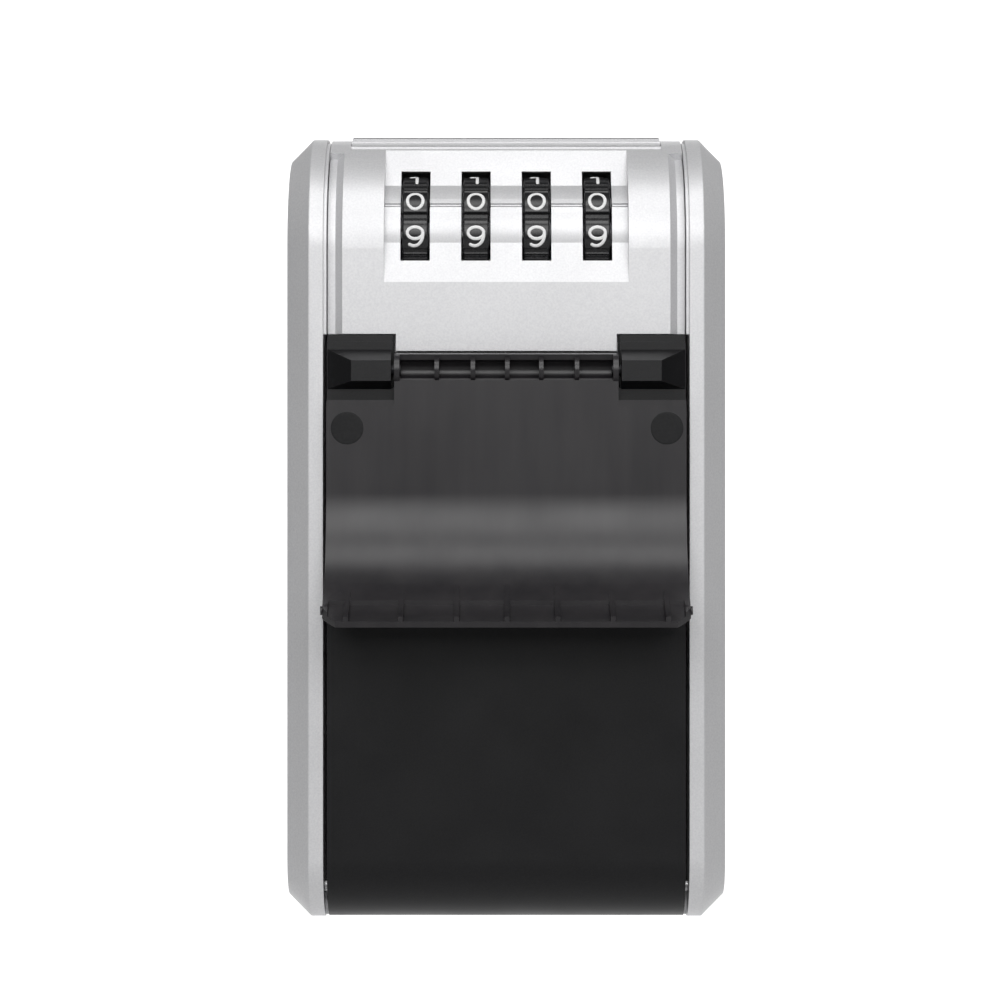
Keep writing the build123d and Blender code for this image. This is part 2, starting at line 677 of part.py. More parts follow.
    # dial recess with its bulge
    with BuildSketch(SIDE):
        with BuildLine():
            Polyline((-PAST, RECESS_LOW[1]), RECESS_LOW, RECESS_KNEE)
            ThreePointArc(RECESS_KNEE, arc_point(wheel_axis, BULGE_R, GROOVE_ANGLE), BULGE_END)
            Polyline(
                BULGE_END,
                RECESS_HIGH,
                (RECESS_HIGH[0], HALF_H + PAST),
                (-PAST, HALF_H + PAST),
                (-PAST, RECESS_LOW[1]),
            )
        make_face()
    extrude(amount=RECESS_HALF_W, both=True, mode=Mode.SUBTRACT)
    # stepped rabbet over the recess
    with BuildSketch(SIDE):
        with BuildLine():
            Polyline(
                (-PAST, RABBET_STEPS[0][1]),
                *RABBET_STEPS,
                (RABBET_STEPS[-1][0], HALF_H + PAST),
                (-PAST, HALF_H + PAST),
                close=True,
            )
        make_face()
    extrude(amount=RABBET_HALF_W, both=True, mode=Mode.SUBTRACT)
    # index groove across the bulge
    with BuildSketch(SIDE):
        with Locations(arc_point(wheel_axis, BULGE_R, GROOVE_ANGLE)):
            Rectangle(2 * GROOVE_DEEP, GROOVE_W, rotation=-GROOVE_ANGLE)
    extrude(amount=RECESS_HALF_W, both=True, mode=Mode.SUBTRACT)
    # slots and clearance for the wheels
    for x in wheel_x:
        with BuildSketch(SIDE.offset(x)):
            with Locations(wheel_axis):
                Circle(WHEEL_R + WHEEL_ROOM)
            with BuildLine():
                Polyline(
                    (-PAST, SLOT_LOW_Z),
                    (-PAST, SLOT_HIGH_Z),
                    (WHEEL_D, SLOT_HIGH_Z),
                    (WHEEL_D, SLOT_LOW_Z),
                    close=True,
                )
            make_face()
        extrude(amount=SLOT_W / 2, both=True, mode=Mode.SUBTRACT)
    # shaft bearings
    with BuildSketch(SIDE):
        with Locations(wheel_axis):
            Circle(SHAFT_R + RUN_GAP)
    extrude(amount=WEB_OUT + RUN_GAP, both=True, mode=Mode.SUBTRACT)
    # screw bosses of the mechanism cover
    for z, root_d in ((BOSS_LOW_Z, PANEL_D + ROOT), (BOSS_HIGH_Z, BOSS_HIGH_ROOT_D)):
        with BuildSketch(FRONT.offset(-root_d)):
            with Locations((-BOSS_X, z), (BOSS_X, z)):
                Circle(BOSS_R)
        extrude(amount=root_d - BACK_D)
    with BuildSketch(FRONT.offset(-BACK_D)):
        with Locations(*boss_places):
            Circle(SCREW_R + PRESS_GAP)
    extrude(amount=PILOT_DEEP, mode=Mode.SUBTRACT)
    # shelves under the latch springs
    with BuildSketch(FRONT.offset(-SHELF_D)):
        with Locations(
            (-(SHELF_IN + DOOR_HALF_W - FLANGE / 2) / 2, SPRING_FOOT_Z - SHELF_T / 2),
            ((SHELF_IN + DOOR_HALF_W - FLANGE / 2) / 2, SPRING_FOOT_Z - SHELF_T / 2),
        ):
            Rectangle(DOOR_HALF_W - FLANGE / 2 - SHELF_IN, SHELF_T)
    extrude(amount=SHELF_D - SHELF_END_D)
    # shelf of the detent spring
    with BuildSketch(SIDE):
        with BuildLine():
            Polyline(
                (PANEL_D + ROOT, SHELF_LOW_Z),
                (PANEL_D + ROOT, DETENT_BASE_Z),
                (SHELF_BACK_D, DETENT_BASE_Z),
                (SHELF_BACK_D, SHELF_LOW_Z),
                close=True,
            )
        make_face()
    extrude(amount=DETENT_HALF_W + SHELF_SIDE, both=True)
    with BuildSketch(LEVEL.offset(DETENT_BASE_Z)):
        with Locations((-DETENT_SCREW_X, DETENT_SCREW_D), (DETENT_SCREW_X, DETENT_SCREW_D)):
            Circle(SCREW_R + PRESS_GAP)
    extrude(amount=-DETENT_PILOT, mode=Mode.SUBTRACT)
    # screw holes of the lower cover
    with BuildSketch(FRONT.offset(-PANEL_D + PAST)):
        with Locations(*cover_screw_places):
            Circle(SCREW_R + RUN_GAP)
    extrude(amount=-PLATE - 2 * PAST, mode=Mode.SUBTRACT)
    # hinge bores
    with BuildSketch(SIDE):
        with Locations((HINGE_D, HINGE_Z)):
            Circle(HINGE_PIN_R + RUN_GAP)
    extrude(amount=HALF_W, both=True, mode=Mode.SUBTRACT)
door_casting.part.label = "door_casting"

# Moulded cover of the lower door, with a trough for the shutter's barrel and a lug at either end of it
with BuildPart() as lower_cover:
    with BuildSketch(SIDE):
        with BuildLine():
            Polyline(
                (COVER_D, COVER_CENTRE[1]),
                (COVER_D, COVER_TOP_Z),
                (COVER_D + COVER_T, COVER_TOP_Z),
                (COVER_D + COVER_T, COVER_CENTRE[1]),
            )
            ThreePointArc(
                (COVER_D + COVER_T, COVER_CENTRE[1]),
                arc_point(COVER_CENTRE, RAIL_BOTTOM_R - COVER_T, -COVER_LIP_ANGLE / 2),
                arc_point(COVER_CENTRE, RAIL_BOTTOM_R - COVER_T, -COVER_LIP_ANGLE),
            )
            Line(
                arc_point(COVER_CENTRE, RAIL_BOTTOM_R - COVER_T, -COVER_LIP_ANGLE),
                arc_point(COVER_CENTRE, RAIL_BOTTOM_R, -COVER_LIP_ANGLE),
            )
            ThreePointArc(
                arc_point(COVER_CENTRE, RAIL_BOTTOM_R, -COVER_LIP_ANGLE),
                arc_point(COVER_CENTRE, RAIL_BOTTOM_R, -COVER_LIP_ANGLE / 2),
                (COVER_D, COVER_CENTRE[1]),
            )
        make_face()
    extrude(amount=COVER_HALF_W, both=True)
    # rims along both sides
    with BuildSketch(SIDE.offset(COVER_HALF_W - COVER_RIM_T), SIDE.offset(-COVER_HALF_W)):
        with BuildLine():
            Polyline(
                (COVER_D, COVER_CENTRE[1]),
                (COVER_D, TAB_LOW_Z),
                (COVER_RIM_D, TAB_LOW_Z),
                (COVER_RIM_D, COVER_CENTRE[1]),
            )
            ThreePointArc(
                (COVER_RIM_D, COVER_CENTRE[1]),
                arc_point(COVER_CENTRE, COVER_CENTRE[0] - COVER_RIM_D, -COVER_LIP_ANGLE / 2),
                arc_point(COVER_CENTRE, COVER_CENTRE[0] - COVER_RIM_D, -COVER_LIP_ANGLE),
            )
            Line(
                arc_point(COVER_CENTRE, COVER_CENTRE[0] - COVER_RIM_D, -COVER_LIP_ANGLE),
                arc_point(COVER_CENTRE, RAIL_BOTTOM_R, -COVER_LIP_ANGLE),
            )
            ThreePointArc(
                arc_point(COVER_CENTRE, RAIL_BOTTOM_R, -COVER_LIP_ANGLE),
                arc_point(COVER_CENTRE, RAIL_BOTTOM_R, -COVER_LIP_ANGLE / 2),
                (COVER_D, COVER_CENTRE[1]),
            )
        make_face()
    extrude(amount=COVER_RIM_T)
    with BuildSketch(SIDE):
        with Locations((HINGE_D, HINGE_Z)):
            Circle(HINGE_PIN_R + COVER_PIN_ROOM)
    extrude(amount=HALF_W, both=True, mode=Mode.SUBTRACT)
    # thick band round the trough
    with BuildSketch(FRONT.offset(-COVER_D)):
        with BuildLine():
            Polyline(
                (-COVER_HALF_W, TAB_LOW_Z),
                (-COVER_HALF_W, TAB_TOP_Z),
                (-TAB_IN, TAB_TOP_Z),
                (-TAB_IN, COVER_TOP_Z),
                (TAB_IN, COVER_TOP_Z),
                (TAB_IN, TAB_TOP_Z),
                (COVER_HALF_W, TAB_TOP_Z),
                (COVER_HALF_W, TAB_LOW_Z),
                close=True,
            )
        make_face()
    extrude(amount=COVER_D - BAND_D)
    with BuildSketch(SIDE):
        with BuildLine():
            Polyline(
                (-PAST, TAB_STEP_Z),
                (TAB_STEP_D, TAB_STEP_Z),
                (TAB_STEP_D, HALF_H),
                (-PAST, HALF_H),
                close=True,
            )
        make_face()
    extrude(amount=HALF_W, both=True, mode=Mode.SUBTRACT)
    # trough
    with BuildSketch(SIDE):
        with Locations((PIVOT_D, PIVOT_Z)):
            Circle(TROUGH_R)
        with BuildLine():
            Polyline(
                (-PAST, PIVOT_Z),
                (PIVOT_D + TROUGH_R, PIVOT_Z),
                (PIVOT_D + TROUGH_R, HALF_H),
                (-PAST, HALF_H),
                close=True,
            )
        make_face()
    extrude(amount=TROUGH_HALF_W, both=True, mode=Mode.SUBTRACT)
    # lugs
    for side in (-1, 1):
        with BuildSketch(FRONT.offset(-COVER_D)):
            with Locations((side * (LUG_IN + LUG_OUT) / 2, (LUG_BASE[0] + LUG_BASE[1]) / 2)):
                Rectangle(LUG_OUT - LUG_IN, LUG_BASE[1] - LUG_BASE[0])
        with BuildSketch(FRONT.offset(-LUG_FRONT_D)):
            with Locations((side * (LUG_IN + LUG_TIP_OUT) / 2, (LUG_TIP[0] + LUG_TIP[1]) / 2)):
                Rectangle(LUG_TIP_OUT - LUG_IN, LUG_TIP[1] - LUG_TIP[0])
        loft()
    with BuildSketch(SIDE):
        with Locations((PIVOT_D, PIVOT_Z)):
            Circle(PIVOT_PIN_R + PRESS_GAP)
    extrude(amount=PIVOT_PIN_OUT, both=True, mode=Mode.SUBTRACT)
    # screw bosses with blind pilots
    with BuildSketch(FRONT.offset(-COVER_D - COVER_T / 2)):
        with Locations(*cover_screw_places):
            Circle(COVER_BOSS_R)
    extrude(amount=COVER_D + COVER_T / 2 - PANEL_D)
    with BuildSketch(FRONT.offset(-COVER_SCREW_TIP_D)):
        with Locations(*cover_screw_places):
            Circle(SCREW_R + PRESS_GAP)
    extrude(amount=COVER_SCREW_TIP_D - PANEL_D, mode=Mode.SUBTRACT)
lower_cover.part.label = "lower_cover"

# Screws of the lower cover, driven from behind the plate
with BuildPart() as cover_screws:
    with BuildSketch(FRONT.offset(-plate_back_d)):
        with Locations(*cover_screw_places):
            Circle(SCREW_HEAD_R)
    extrude(amount=-SCREW_HEAD_T)
    with BuildSketch(FRONT.offset(-plate_back_d)):
        with Locations(*cover_screw_places):
            Circle(SCREW_R)
    extrude(amount=plate_back_d - COVER_SCREW_TIP_D)
cover_screws.part.label = "cover_screws"

# Pins of the shutter, pressed into the lugs
with BuildPart() as shutter_pins:
    with BuildSketch(SIDE.offset(PIVOT_PIN_IN), SIDE.offset(-PIVOT_PIN_OUT)):
        with Locations((PIVOT_D, PIVOT_Z)):
            Circle(PIVOT_PIN_R)
    extrude(amount=PIVOT_PIN_OUT - PIVOT_PIN_IN)
shutter_pins.part.label = "shutter_pins"

# Weather shutter, hanging open: barrel, flat panel, quarter-round top and ribbed lip
with BuildPart() as shutter:
    # skin, drawn as it lies when closed and placed turned half round
    with BuildSketch(SHUT_SIDE):
        with BuildLine():
            Polyline(
                (SHUTTER_FACE + SHUTTER_T, SHUTTER_CENTRE[1]),
                (SHUTTER_FACE + SHUTTER_T, NOTCH_V),
                (SHUTTER_FACE, NOTCH_V),
                (SHUTTER_FACE, SHUTTER_CENTRE[1]),
            )
            ThreePointArc(
                (SHUTTER_FACE, SHUTTER_CENTRE[1]),
                arc_point(SHUTTER_CENTRE, SHUTTER_R, JOGGLE_ANGLE / 2),
                arc_point(SHUTTER_CENTRE, SHUTTER_R, JOGGLE_ANGLE),
            )
            Line(
                arc_point(SHUTTER_CENTRE, SHUTTER_R, JOGGLE_ANGLE),
                arc_point(SHUTTER_CENTRE, LIP_R, JOGGLE_ANGLE + JOGGLE_RAMP),
            )
            ThreePointArc(
                arc_point(SHUTTER_CENTRE, LIP_R, JOGGLE_ANGLE + JOGGLE_RAMP),
                arc_point(SHUTTER_CENTRE, LIP_R, (JOGGLE_ANGLE + LIP_ANGLE) / 2),
                arc_point(SHUTTER_CENTRE, LIP_R, LIP_ANGLE),
            )
            Line(
                arc_point(SHUTTER_CENTRE, LIP_R, LIP_ANGLE),
                arc_point(SHUTTER_CENTRE, LIP_R - LIP_T, LIP_ANGLE),
            )
            ThreePointArc(
                arc_point(SHUTTER_CENTRE, LIP_R - LIP_T, LIP_ANGLE),
                arc_point(SHUTTER_CENTRE, LIP_R - LIP_T, (JOGGLE_ANGLE + LIP_ANGLE) / 2),
                arc_point(SHUTTER_CENTRE, LIP_R - LIP_T, JOGGLE_ANGLE + JOGGLE_RAMP),
            )
            Line(
                arc_point(SHUTTER_CENTRE, LIP_R - LIP_T, JOGGLE_ANGLE + JOGGLE_RAMP),
                arc_point(SHUTTER_CENTRE, SHUTTER_R - SHUTTER_T, JOGGLE_ANGLE),
            )
            ThreePointArc(
                arc_point(SHUTTER_CENTRE, SHUTTER_R - SHUTTER_T, JOGGLE_ANGLE),
                arc_point(SHUTTER_CENTRE, SHUTTER_R - SHUTTER_T, JOGGLE_ANGLE / 2),
                (SHUTTER_FACE + SHUTTER_T, SHUTTER_CENTRE[1]),
            )
        make_face()
    extrude(amount=SHUTTER_HALF_W, both=True)
    # neck between the barrel and the panel
    with BuildSketch(SHUT_SIDE):
        with BuildLine():
            Polyline(
                (SHUTTER_FACE, BARREL_R - BARREL_T),
                (SHUTTER_FACE, NOTCH_V + SHUTTER_T),
                (SHUTTER_FACE + SHUTTER_T, NOTCH_V + SHUTTER_T),
                (SHUTTER_FACE + SHUTTER_T, BARREL_R - BARREL_T),
                close=True,
            )
        make_face()
    extrude(amount=BARREL_HALF_L, both=True)
    # rebate along the notches
    with BuildSketch(SHUT_SIDE.offset(BARREL_HALF_L), SHUT_SIDE.offset(-HALF_W)):
        with BuildLine():
            Polyline(
                (SHUTTER_FACE + SHUTTER_T - REBATE_DEEP, NOTCH_V),
                (SHUTTER_FACE + SHUTTER_T - REBATE_DEEP, REBATE_V),
                (SHUTTER_FACE + 2 * SHUTTER_T, REBATE_V),
                (SHUTTER_FACE + 2 * SHUTTER_T, NOTCH_V),
                close=True,
            )
        make_face()
    extrude(amount=HALF_W - BARREL_HALF_L, mode=Mode.SUBTRACT)
    # rims that keep the inner level of the panel along both sides of the lip
    with BuildSketch(SHUT_SIDE.offset(SHUTTER_HALF_W - RIM_W), SHUT_SIDE.offset(-SHUTTER_HALF_W)):
        with BuildLine():
            ThreePointArc(
                arc_point(SHUTTER_CENTRE, SHUTTER_R - SHUTTER_T, JOGGLE_ANGLE),
                arc_point(SHUTTER_CENTRE, SHUTTER_R - SHUTTER_T, (JOGGLE_ANGLE + LIP_ANGLE) / 2),
                arc_point(SHUTTER_CENTRE, SHUTTER_R - SHUTTER_T, LIP_ANGLE),
            )
            Line(
                arc_point(SHUTTER_CENTRE, SHUTTER_R - SHUTTER_T, LIP_ANGLE),
                arc_point(SHUTTER_CENTRE, SHUTTER_R, LIP_ANGLE),
            )
            ThreePointArc(
                arc_point(SHUTTER_CENTRE, SHUTTER_R, LIP_ANGLE),
                arc_point(SHUTTER_CENTRE, SHUTTER_R, (JOGGLE_ANGLE + LIP_ANGLE) / 2),
                arc_point(SHUTTER_CENTRE, SHUTTER_R, JOGGLE_ANGLE),
            )
            Line(
                arc_point(SHUTTER_CENTRE, SHUTTER_R, JOGGLE_ANGLE),
                arc_point(SHUTTER_CENTRE, SHUTTER_R - SHUTTER_T, JOGGLE_ANGLE),
            )
        make_face()
    extrude(amount=RIM_W)
    # lip ribs
    for x in LIP_RIB_X:
        rib_start = OUTER_RIB_ANGLE if abs(x) > MIDDLE_RIB_X else MIDDLE_RIB_ANGLE
        with BuildSketch(SHUT_SIDE.offset(x)):
            with BuildLine():
                ThreePointArc(
                    arc_point(SHUTTER_CENTRE, LIP_RIB_R, rib_start),
                    arc_point(SHUTTER_CENTRE, LIP_RIB_R, (rib_start + LIP_ANGLE) / 2),
                    arc_point(SHUTTER_CENTRE, LIP_RIB_R, LIP_ANGLE),
                )
                Line(
                    arc_point(SHUTTER_CENTRE, LIP_RIB_R, LIP_ANGLE),
                    arc_point(SHUTTER_CENTRE, SHUTTER_R - RIB_ROOT, LIP_ANGLE),
                )
                ThreePointArc(
                    arc_point(SHUTTER_CENTRE, SHUTTER_R - RIB_ROOT, LIP_ANGLE),
                    arc_point(SHUTTER_CENTRE, SHUTTER_R - RIB_ROOT, (rib_start + LIP_ANGLE) / 2),
                    arc_point(SHUTTER_CENTRE, SHUTTER_R - RIB_ROOT, rib_start),
                )
                Line(
                    arc_point(SHUTTER_CENTRE, SHUTTER_R - RIB_ROOT, rib_start),
                    arc_point(SHUTTER_CENTRE, LIP_RIB_R, rib_start),
                )
            make_face()
        extrude(amount=LIP_RIB_W / 2, both=True)
    # lip corners cut off
    with BuildSketch(LEVEL.offset(PIVOT_Z)):
        for side in (-1, 1):
            with BuildLine():
                Polyline(
                    (side * SHUTTER_HALF_W, corner_start_d),
                    (side * LIP_CORNER_HALF_W, corner_end_d),
                    (side * LIP_CORNER_HALF_W, corner_end_d - PAST),
                    (side * HALF_W, corner_end_d - PAST),
                    (side * HALF_W, corner_start_d),
                    close=True,
                )
            make_face()
    extrude(amount=-HALF_H, mode=Mode.SUBTRACT)
    # open barrel
    with BuildSketch(SHUT_SIDE):
        with BuildLine():
            ThreePointArc(
                Vector(BARREL_R, 0).rotate(Axis.Z, BARREL_OPEN[1]),
                Vector(BARREL_R, 0).rotate(Axis.Z, barrel_mid),
                Vector(BARREL_R, 0).rotate(Axis.Z, BARREL_OPEN[0]),
            )
            Line(
                Vector(BARREL_R, 0).rotate(Axis.Z, BARREL_OPEN[0]),
                Vector(BARREL_R - BARREL_T, 0).rotate(Axis.Z, BARREL_OPEN[0]),
            )
            ThreePointArc(
                Vector(BARREL_R - BARREL_T, 0).rotate(Axis.Z, BARREL_OPEN[0]),
                Vector(BARREL_R - BARREL_T, 0).rotate(Axis.Z, barrel_mid),
                Vector(BARREL_R - BARREL_T, 0).rotate(Axis.Z, BARREL_OPEN[1]),
            )
            Line(
                Vector(BARREL_R - BARREL_T, 0).rotate(Axis.Z, BARREL_OPEN[1]),
                Vector(BARREL_R, 0).rotate(Axis.Z, BARREL_OPEN[1]),
            )
        make_face()
    extrude(amount=BARREL_HALF_L, both=True)
    with BuildSketch(SHUT_SIDE.offset(BARREL_HALF_L - BARREL_END_T), SHUT_SIDE.offset(-BARREL_HALF_L)):
        Circle(BARREL_R)
    extrude(amount=BARREL_END_T)
    for x in BARREL_RIB_X:
        with BuildSketch(SHUT_SIDE.offset(x)):
            Circle(BARREL_R - BARREL_T / 2)
        extrude(amount=BARREL_RIB_T / 2, both=True)
    for side in (-1, 1):
        with BuildSketch(SHUT_SIDE.offset(side * BARREL_HALF_L)):
            Circle(PIVOT_PIN_R + RUN_GAP)
        extrude(amount=-side * (BARREL_END_T + PAST), mode=Mode.SUBTRACT)
    # snap nubs
    with BuildSketch(SHUT_SIDE):
        with Locations(arc_point(SHUTTER_CENTRE, NUB_CENTRE_R, NUB_ANGLE)):
            Circle(NUB_R)
    nub = extrude(amount=NUB_HALF_W, both=True, mode=Mode.PRIVATE)
    with BuildSketch(SHUT_SIDE):
        with Locations(arc_point(SHUTTER_CENTRE, NUB_CENTRE_R, NUB_ANGLE)):
            Circle(NUB_R)
    core = extrude(amount=SHUTTER_HALF_W - RIM_W / 2, both=True, mode=Mode.PRIVATE)
    add(nub - core)
shutter.part.label = "shutter"

# Wheel shaft
with BuildPart() as wheel_shaft:
    with BuildSketch(SIDE):
        with Locations(wheel_axis):
            Circle(SHAFT_R)
    extrude(amount=SHAFT_HALF_L, both=True)
    with BuildSketch(SIDE.offset(CLIP_X), SIDE.offset(-CLIP_X - CLIP_T)):
        with Locations(wheel_axis):
            Circle(SHAFT_R)
            Circle(CLIP_SEAT_R, mode=Mode.SUBTRACT)
    extrude(amount=CLIP_T, mode=Mode.SUBTRACT)
wheel_shaft.part.label = "wheel_shaft"

# Spring clips at the shaft's ends
with BuildPart() as shaft_clips:
    with BuildSketch(SIDE.offset(CLIP_X + RUN_GAP / 2), SIDE.offset(RUN_GAP / 2 - CLIP_X - CLIP_T)):
        with Locations(wheel_axis):
            Circle(CLIP_R)
            Circle(CLIP_SEAT_R, mode=Mode.SUBTRACT)
            with Locations((0, -CLIP_R)):
                Rectangle(2 * CLIP_MOUTH_HALF, 2 * CLIP_R, mode=Mode.SUBTRACT)
    extrude(amount=CLIP_T - RUN_GAP)
shaft_clips.part.label = "shaft_clips"


def wheel_sketch(x):
    """Outline of a wheel: ten pads round the rim, and the bore for its hub."""
    with BuildSketch(SIDE.offset(x)) as outline:
        with Locations(wheel_axis):
            Circle(WHEEL_R)
            with PolarLocations(WHEEL_R, PAD_COUNT, start_angle=first_gap):
                Rectangle(2 * PAD_GAP_DEEP, PAD_GAP_W, mode=Mode.SUBTRACT)
            Circle(WHEEL_BORE_R, mode=Mode.SUBTRACT)
    return outline.sketch


def hub_sketch(x, radius):
    """Round hub with two opposite flats and the bore for the shaft."""
    with BuildSketch(SIDE.offset(x)) as outline:
        with Locations(wheel_axis):
            Circle(radius)
            Rectangle(2 * radius, 2 * min(radius, HUB_FLAT), mode=Mode.INTERSECT)
            Circle(SHAFT_R + RUN_GAP, mode=Mode.SUBTRACT)
    return outline.sketch


# Code wheels from left to right
with BuildPart() as dial_wheel_1:
    extrude(wheel_sketch(wheel_x[0]), amount=WHEEL_W / 2, both=True)
dial_wheel_1.part.label = "dial_wheel_1"

with BuildPart() as dial_wheel_2:
    extrude(wheel_sketch(wheel_x[1]), amount=WHEEL_W / 2, both=True)
dial_wheel_2.part.label = "dial_wheel_2"

with BuildPart() as dial_wheel_3:
    extrude(wheel_sketch(wheel_x[2]), amount=WHEEL_W / 2, both=True)
dial_wheel_3.part.label = "dial_wheel_3"

with BuildPart() as dial_wheel_4:
    extrude(wheel_sketch(wheel_x[3]), amount=WHEEL_W / 2, both=True)
dial_wheel_4.part.label = "dial_wheel_4"

# Code hubs: a flatted collar beside each wheel, on a round spigot that fills the wheel's bore
with BuildPart() as code_hub_1:
    extrude(hub_sketch(wheel_x[0] + WHEEL_W / 2, HUB_R), amount=HUB_L)
    with BuildSketch(SIDE.offset(wheel_x[0] - WHEEL_W / 2)):
        with Locations(wheel_axis):
            Circle(WHEEL_BORE_R - PRESS_GAP)
            Circle(SHAFT_R + RUN_GAP, mode=Mode.SUBTRACT)
    extrude(amount=WHEEL_W)
code_hub_1.part.label = "code_hub_1"

with BuildPart() as code_hub_2:
    extrude(hub_sketch(wheel_x[1] + WHEEL_W / 2, HUB_R), amount=HUB_L)
    with BuildSketch(SIDE.offset(wheel_x[1] - WHEEL_W / 2)):
        with Locations(wheel_axis):
            Circle(WHEEL_BORE_R - PRESS_GAP)
            Circle(SHAFT_R + RUN_GAP, mode=Mode.SUBTRACT)
    extrude(amount=WHEEL_W)
code_hub_2.part.label = "code_hub_2"

with BuildPart() as code_hub_3:
    extrude(hub_sketch(wheel_x[2] + WHEEL_W / 2, HUB_R), amount=HUB_L)
    with BuildSketch(SIDE.offset(wheel_x[2] - WHEEL_W / 2)):
        with Locations(wheel_axis):
            Circle(WHEEL_BORE_R - PRESS_GAP)
            Circle(SHAFT_R + RUN_GAP, mode=Mode.SUBTRACT)
    extrude(amount=WHEEL_W)
code_hub_3.part.label = "code_hub_3"

with BuildPart() as code_hub_4:
    extrude(hub_sketch(wheel_x[3] + WHEEL_W / 2, HUB_R), amount=HUB_L)
    with BuildSketch(SIDE.offset(wheel_x[3] - WHEEL_W / 2)):
        with Locations(wheel_axis):
            Circle(WHEEL_BORE_R - PRESS_GAP)
            Circle(SHAFT_R + RUN_GAP, mode=Mode.SUBTRACT)
    extrude(amount=WHEEL_W)
code_hub_4.part.label = "code_hub_4"

# Detent spring: a base strip with one finger under each wheel
with BuildPart() as detent_spring:
    with BuildSketch(SIDE):
        with BuildLine():
            Polyline(
                (DETENT_D[0], DETENT_BASE_Z),
                (DETENT_D[0], DETENT_BASE_Z + DETENT_T),
                (DETENT_D[1], DETENT_BASE_Z + DETENT_T),
                (DETENT_D[1], DETENT_BASE_Z),
                close=True,
            )
        make_face()
    extrude(amount=DETENT_HALF_W, both=True)
    for x in wheel_x:
        with BuildSketch(SIDE.offset(x)):
            with BuildLine():
                Polyline(
                    (DETENT_D[1] - DETENT_T, DETENT_BASE_Z),
                    (DETENT_D[1] - DETENT_T, DETENT_BASE_Z + DETENT_T),
                    (DETENT_TIP[0], DETENT_TIP[1] + DETENT_T),
                    (DETENT_END[0], DETENT_END[1] + DETENT_T),
                    DETENT_END,
                    DETENT_TIP,
                    (DETENT_D[1], DETENT_BASE_Z),
                    close=True,
                )
            make_face()
        extrude(amount=DETENT_W / 2, both=True)
    with BuildSketch(LEVEL.offset(DETENT_BASE_Z)):
        with Locations((-DETENT_SCREW_X, DETENT_SCREW_D), (DETENT_SCREW_X, DETENT_SCREW_D)):
            Circle(SCREW_R + RUN_GAP)
    extrude(amount=DETENT_T, mode=Mode.SUBTRACT)
detent_spring.part.label = "detent_spring"

# Screws of the detent spring
with BuildPart() as detent_screws:
    with BuildSketch(LEVEL.offset(DETENT_BASE_Z + DETENT_T)):
        with Locations((-DETENT_SCREW_X, DETENT_SCREW_D), (DETENT_SCREW_X, DETENT_SCREW_D)):
            Circle(SCREW_HEAD_R)
    extrude(amount=SCREW_HEAD_T)
    with BuildSketch(LEVEL.offset(DETENT_BASE_Z + DETENT_T)):
        with Locations((-DETENT_SCREW_X, DETENT_SCREW_D), (DETENT_SCREW_X, DETENT_SCREW_D)):
            Circle(SCREW_R)
    extrude(amount=-DETENT_T - DETENT_BITE)
detent_screws.part.label = "detent_screws"

# Latch plate: upright sheet with two hooked tongues, an ear over each spring and the shelf of the release bar
with BuildPart() as latch_plate:
    with BuildSketch(FRONT.offset(-LATCH_D)):
        with BuildLine():
            Polyline(
                (-LATCH_HALF_W, LATCH_HIGH_Z),
                (LATCH_HALF_W, LATCH_HIGH_Z),
                (LATCH_HALF_W, LATCH_LEG_Z),
                (EAR_OUT, LATCH_LEG_Z),
                (EAR_OUT, EAR_Z),
                (LATCH_LEG_IN, EAR_Z),
                (LATCH_LEG_IN, LATCH_LOW_Z),
                (-LATCH_LEG_IN, LATCH_LOW_Z),
                (-LATCH_LEG_IN, EAR_Z),
                (-EAR_OUT, EAR_Z),
                (-EAR_OUT, LATCH_LEG_Z),
                (-LATCH_HALF_W, LATCH_LEG_Z),
                close=True,
            )
        make_face()
    extrude(amount=-SHEET)
    with BuildSketch(SIDE.offset(LATCH_HALF_W), SIDE.offset(-EAR_OUT)):
        with BuildLine():
            Polyline(
                (EAR_D, EAR_Z),
                (EAR_D, EAR_Z + SHEET),
                (latch_back_d, EAR_Z + SHEET),
                (latch_back_d, EAR_Z),
                close=True,
            )
        make_face()
    extrude(amount=EAR_OUT - LATCH_HALF_W)
    with BuildSketch(SIDE):
        with BuildLine():
            Polyline(
                (LATCH_TAB_D, LATCH_HIGH_Z),
                (latch_back_d, LATCH_HIGH_Z),
                (latch_back_d, LATCH_HIGH_Z - SHEET),
                (LATCH_TAB_D, LATCH_HIGH_Z - SHEET),
                close=True,
            )
        make_face()
    extrude(amount=LATCH_TAB_HALF_W, both=True)
    with BuildSketch(SIDE.offset(TONGUE_X - TONGUE_W / 2), SIDE.offset(-TONGUE_X - TONGUE_W / 2)):
        with BuildLine():
            Polyline(
                (LATCH_D, TONGUE_LOW_Z),
                (TONGUE_D + TONGUE_T, TONGUE_LOW_Z),
                (TONGUE_D + TONGUE_T, TONGUE_TOP_Z),
                (TONGUE_D, TONGUE_TOP_Z),
                (TONGUE_D, TONGUE_LOW_Z + TONGUE_ARM),
                (LATCH_D, TONGUE_LOW_Z + TONGUE_ARM),
                close=True,
            )
        make_face()
    extrude(amount=TONGUE_W)
    with BuildSketch(LEVEL.offset(LATCH_HIGH_Z)):
        with Locations((-BAR_SCREW_X, BAR_SCREW_D), (BAR_SCREW_X, BAR_SCREW_D)):
            Circle(BAR_SCREW_R + RUN_GAP)
    extrude(amount=-SHEET, mode=Mode.SUBTRACT)
latch_plate.part.label = "latch_plate"

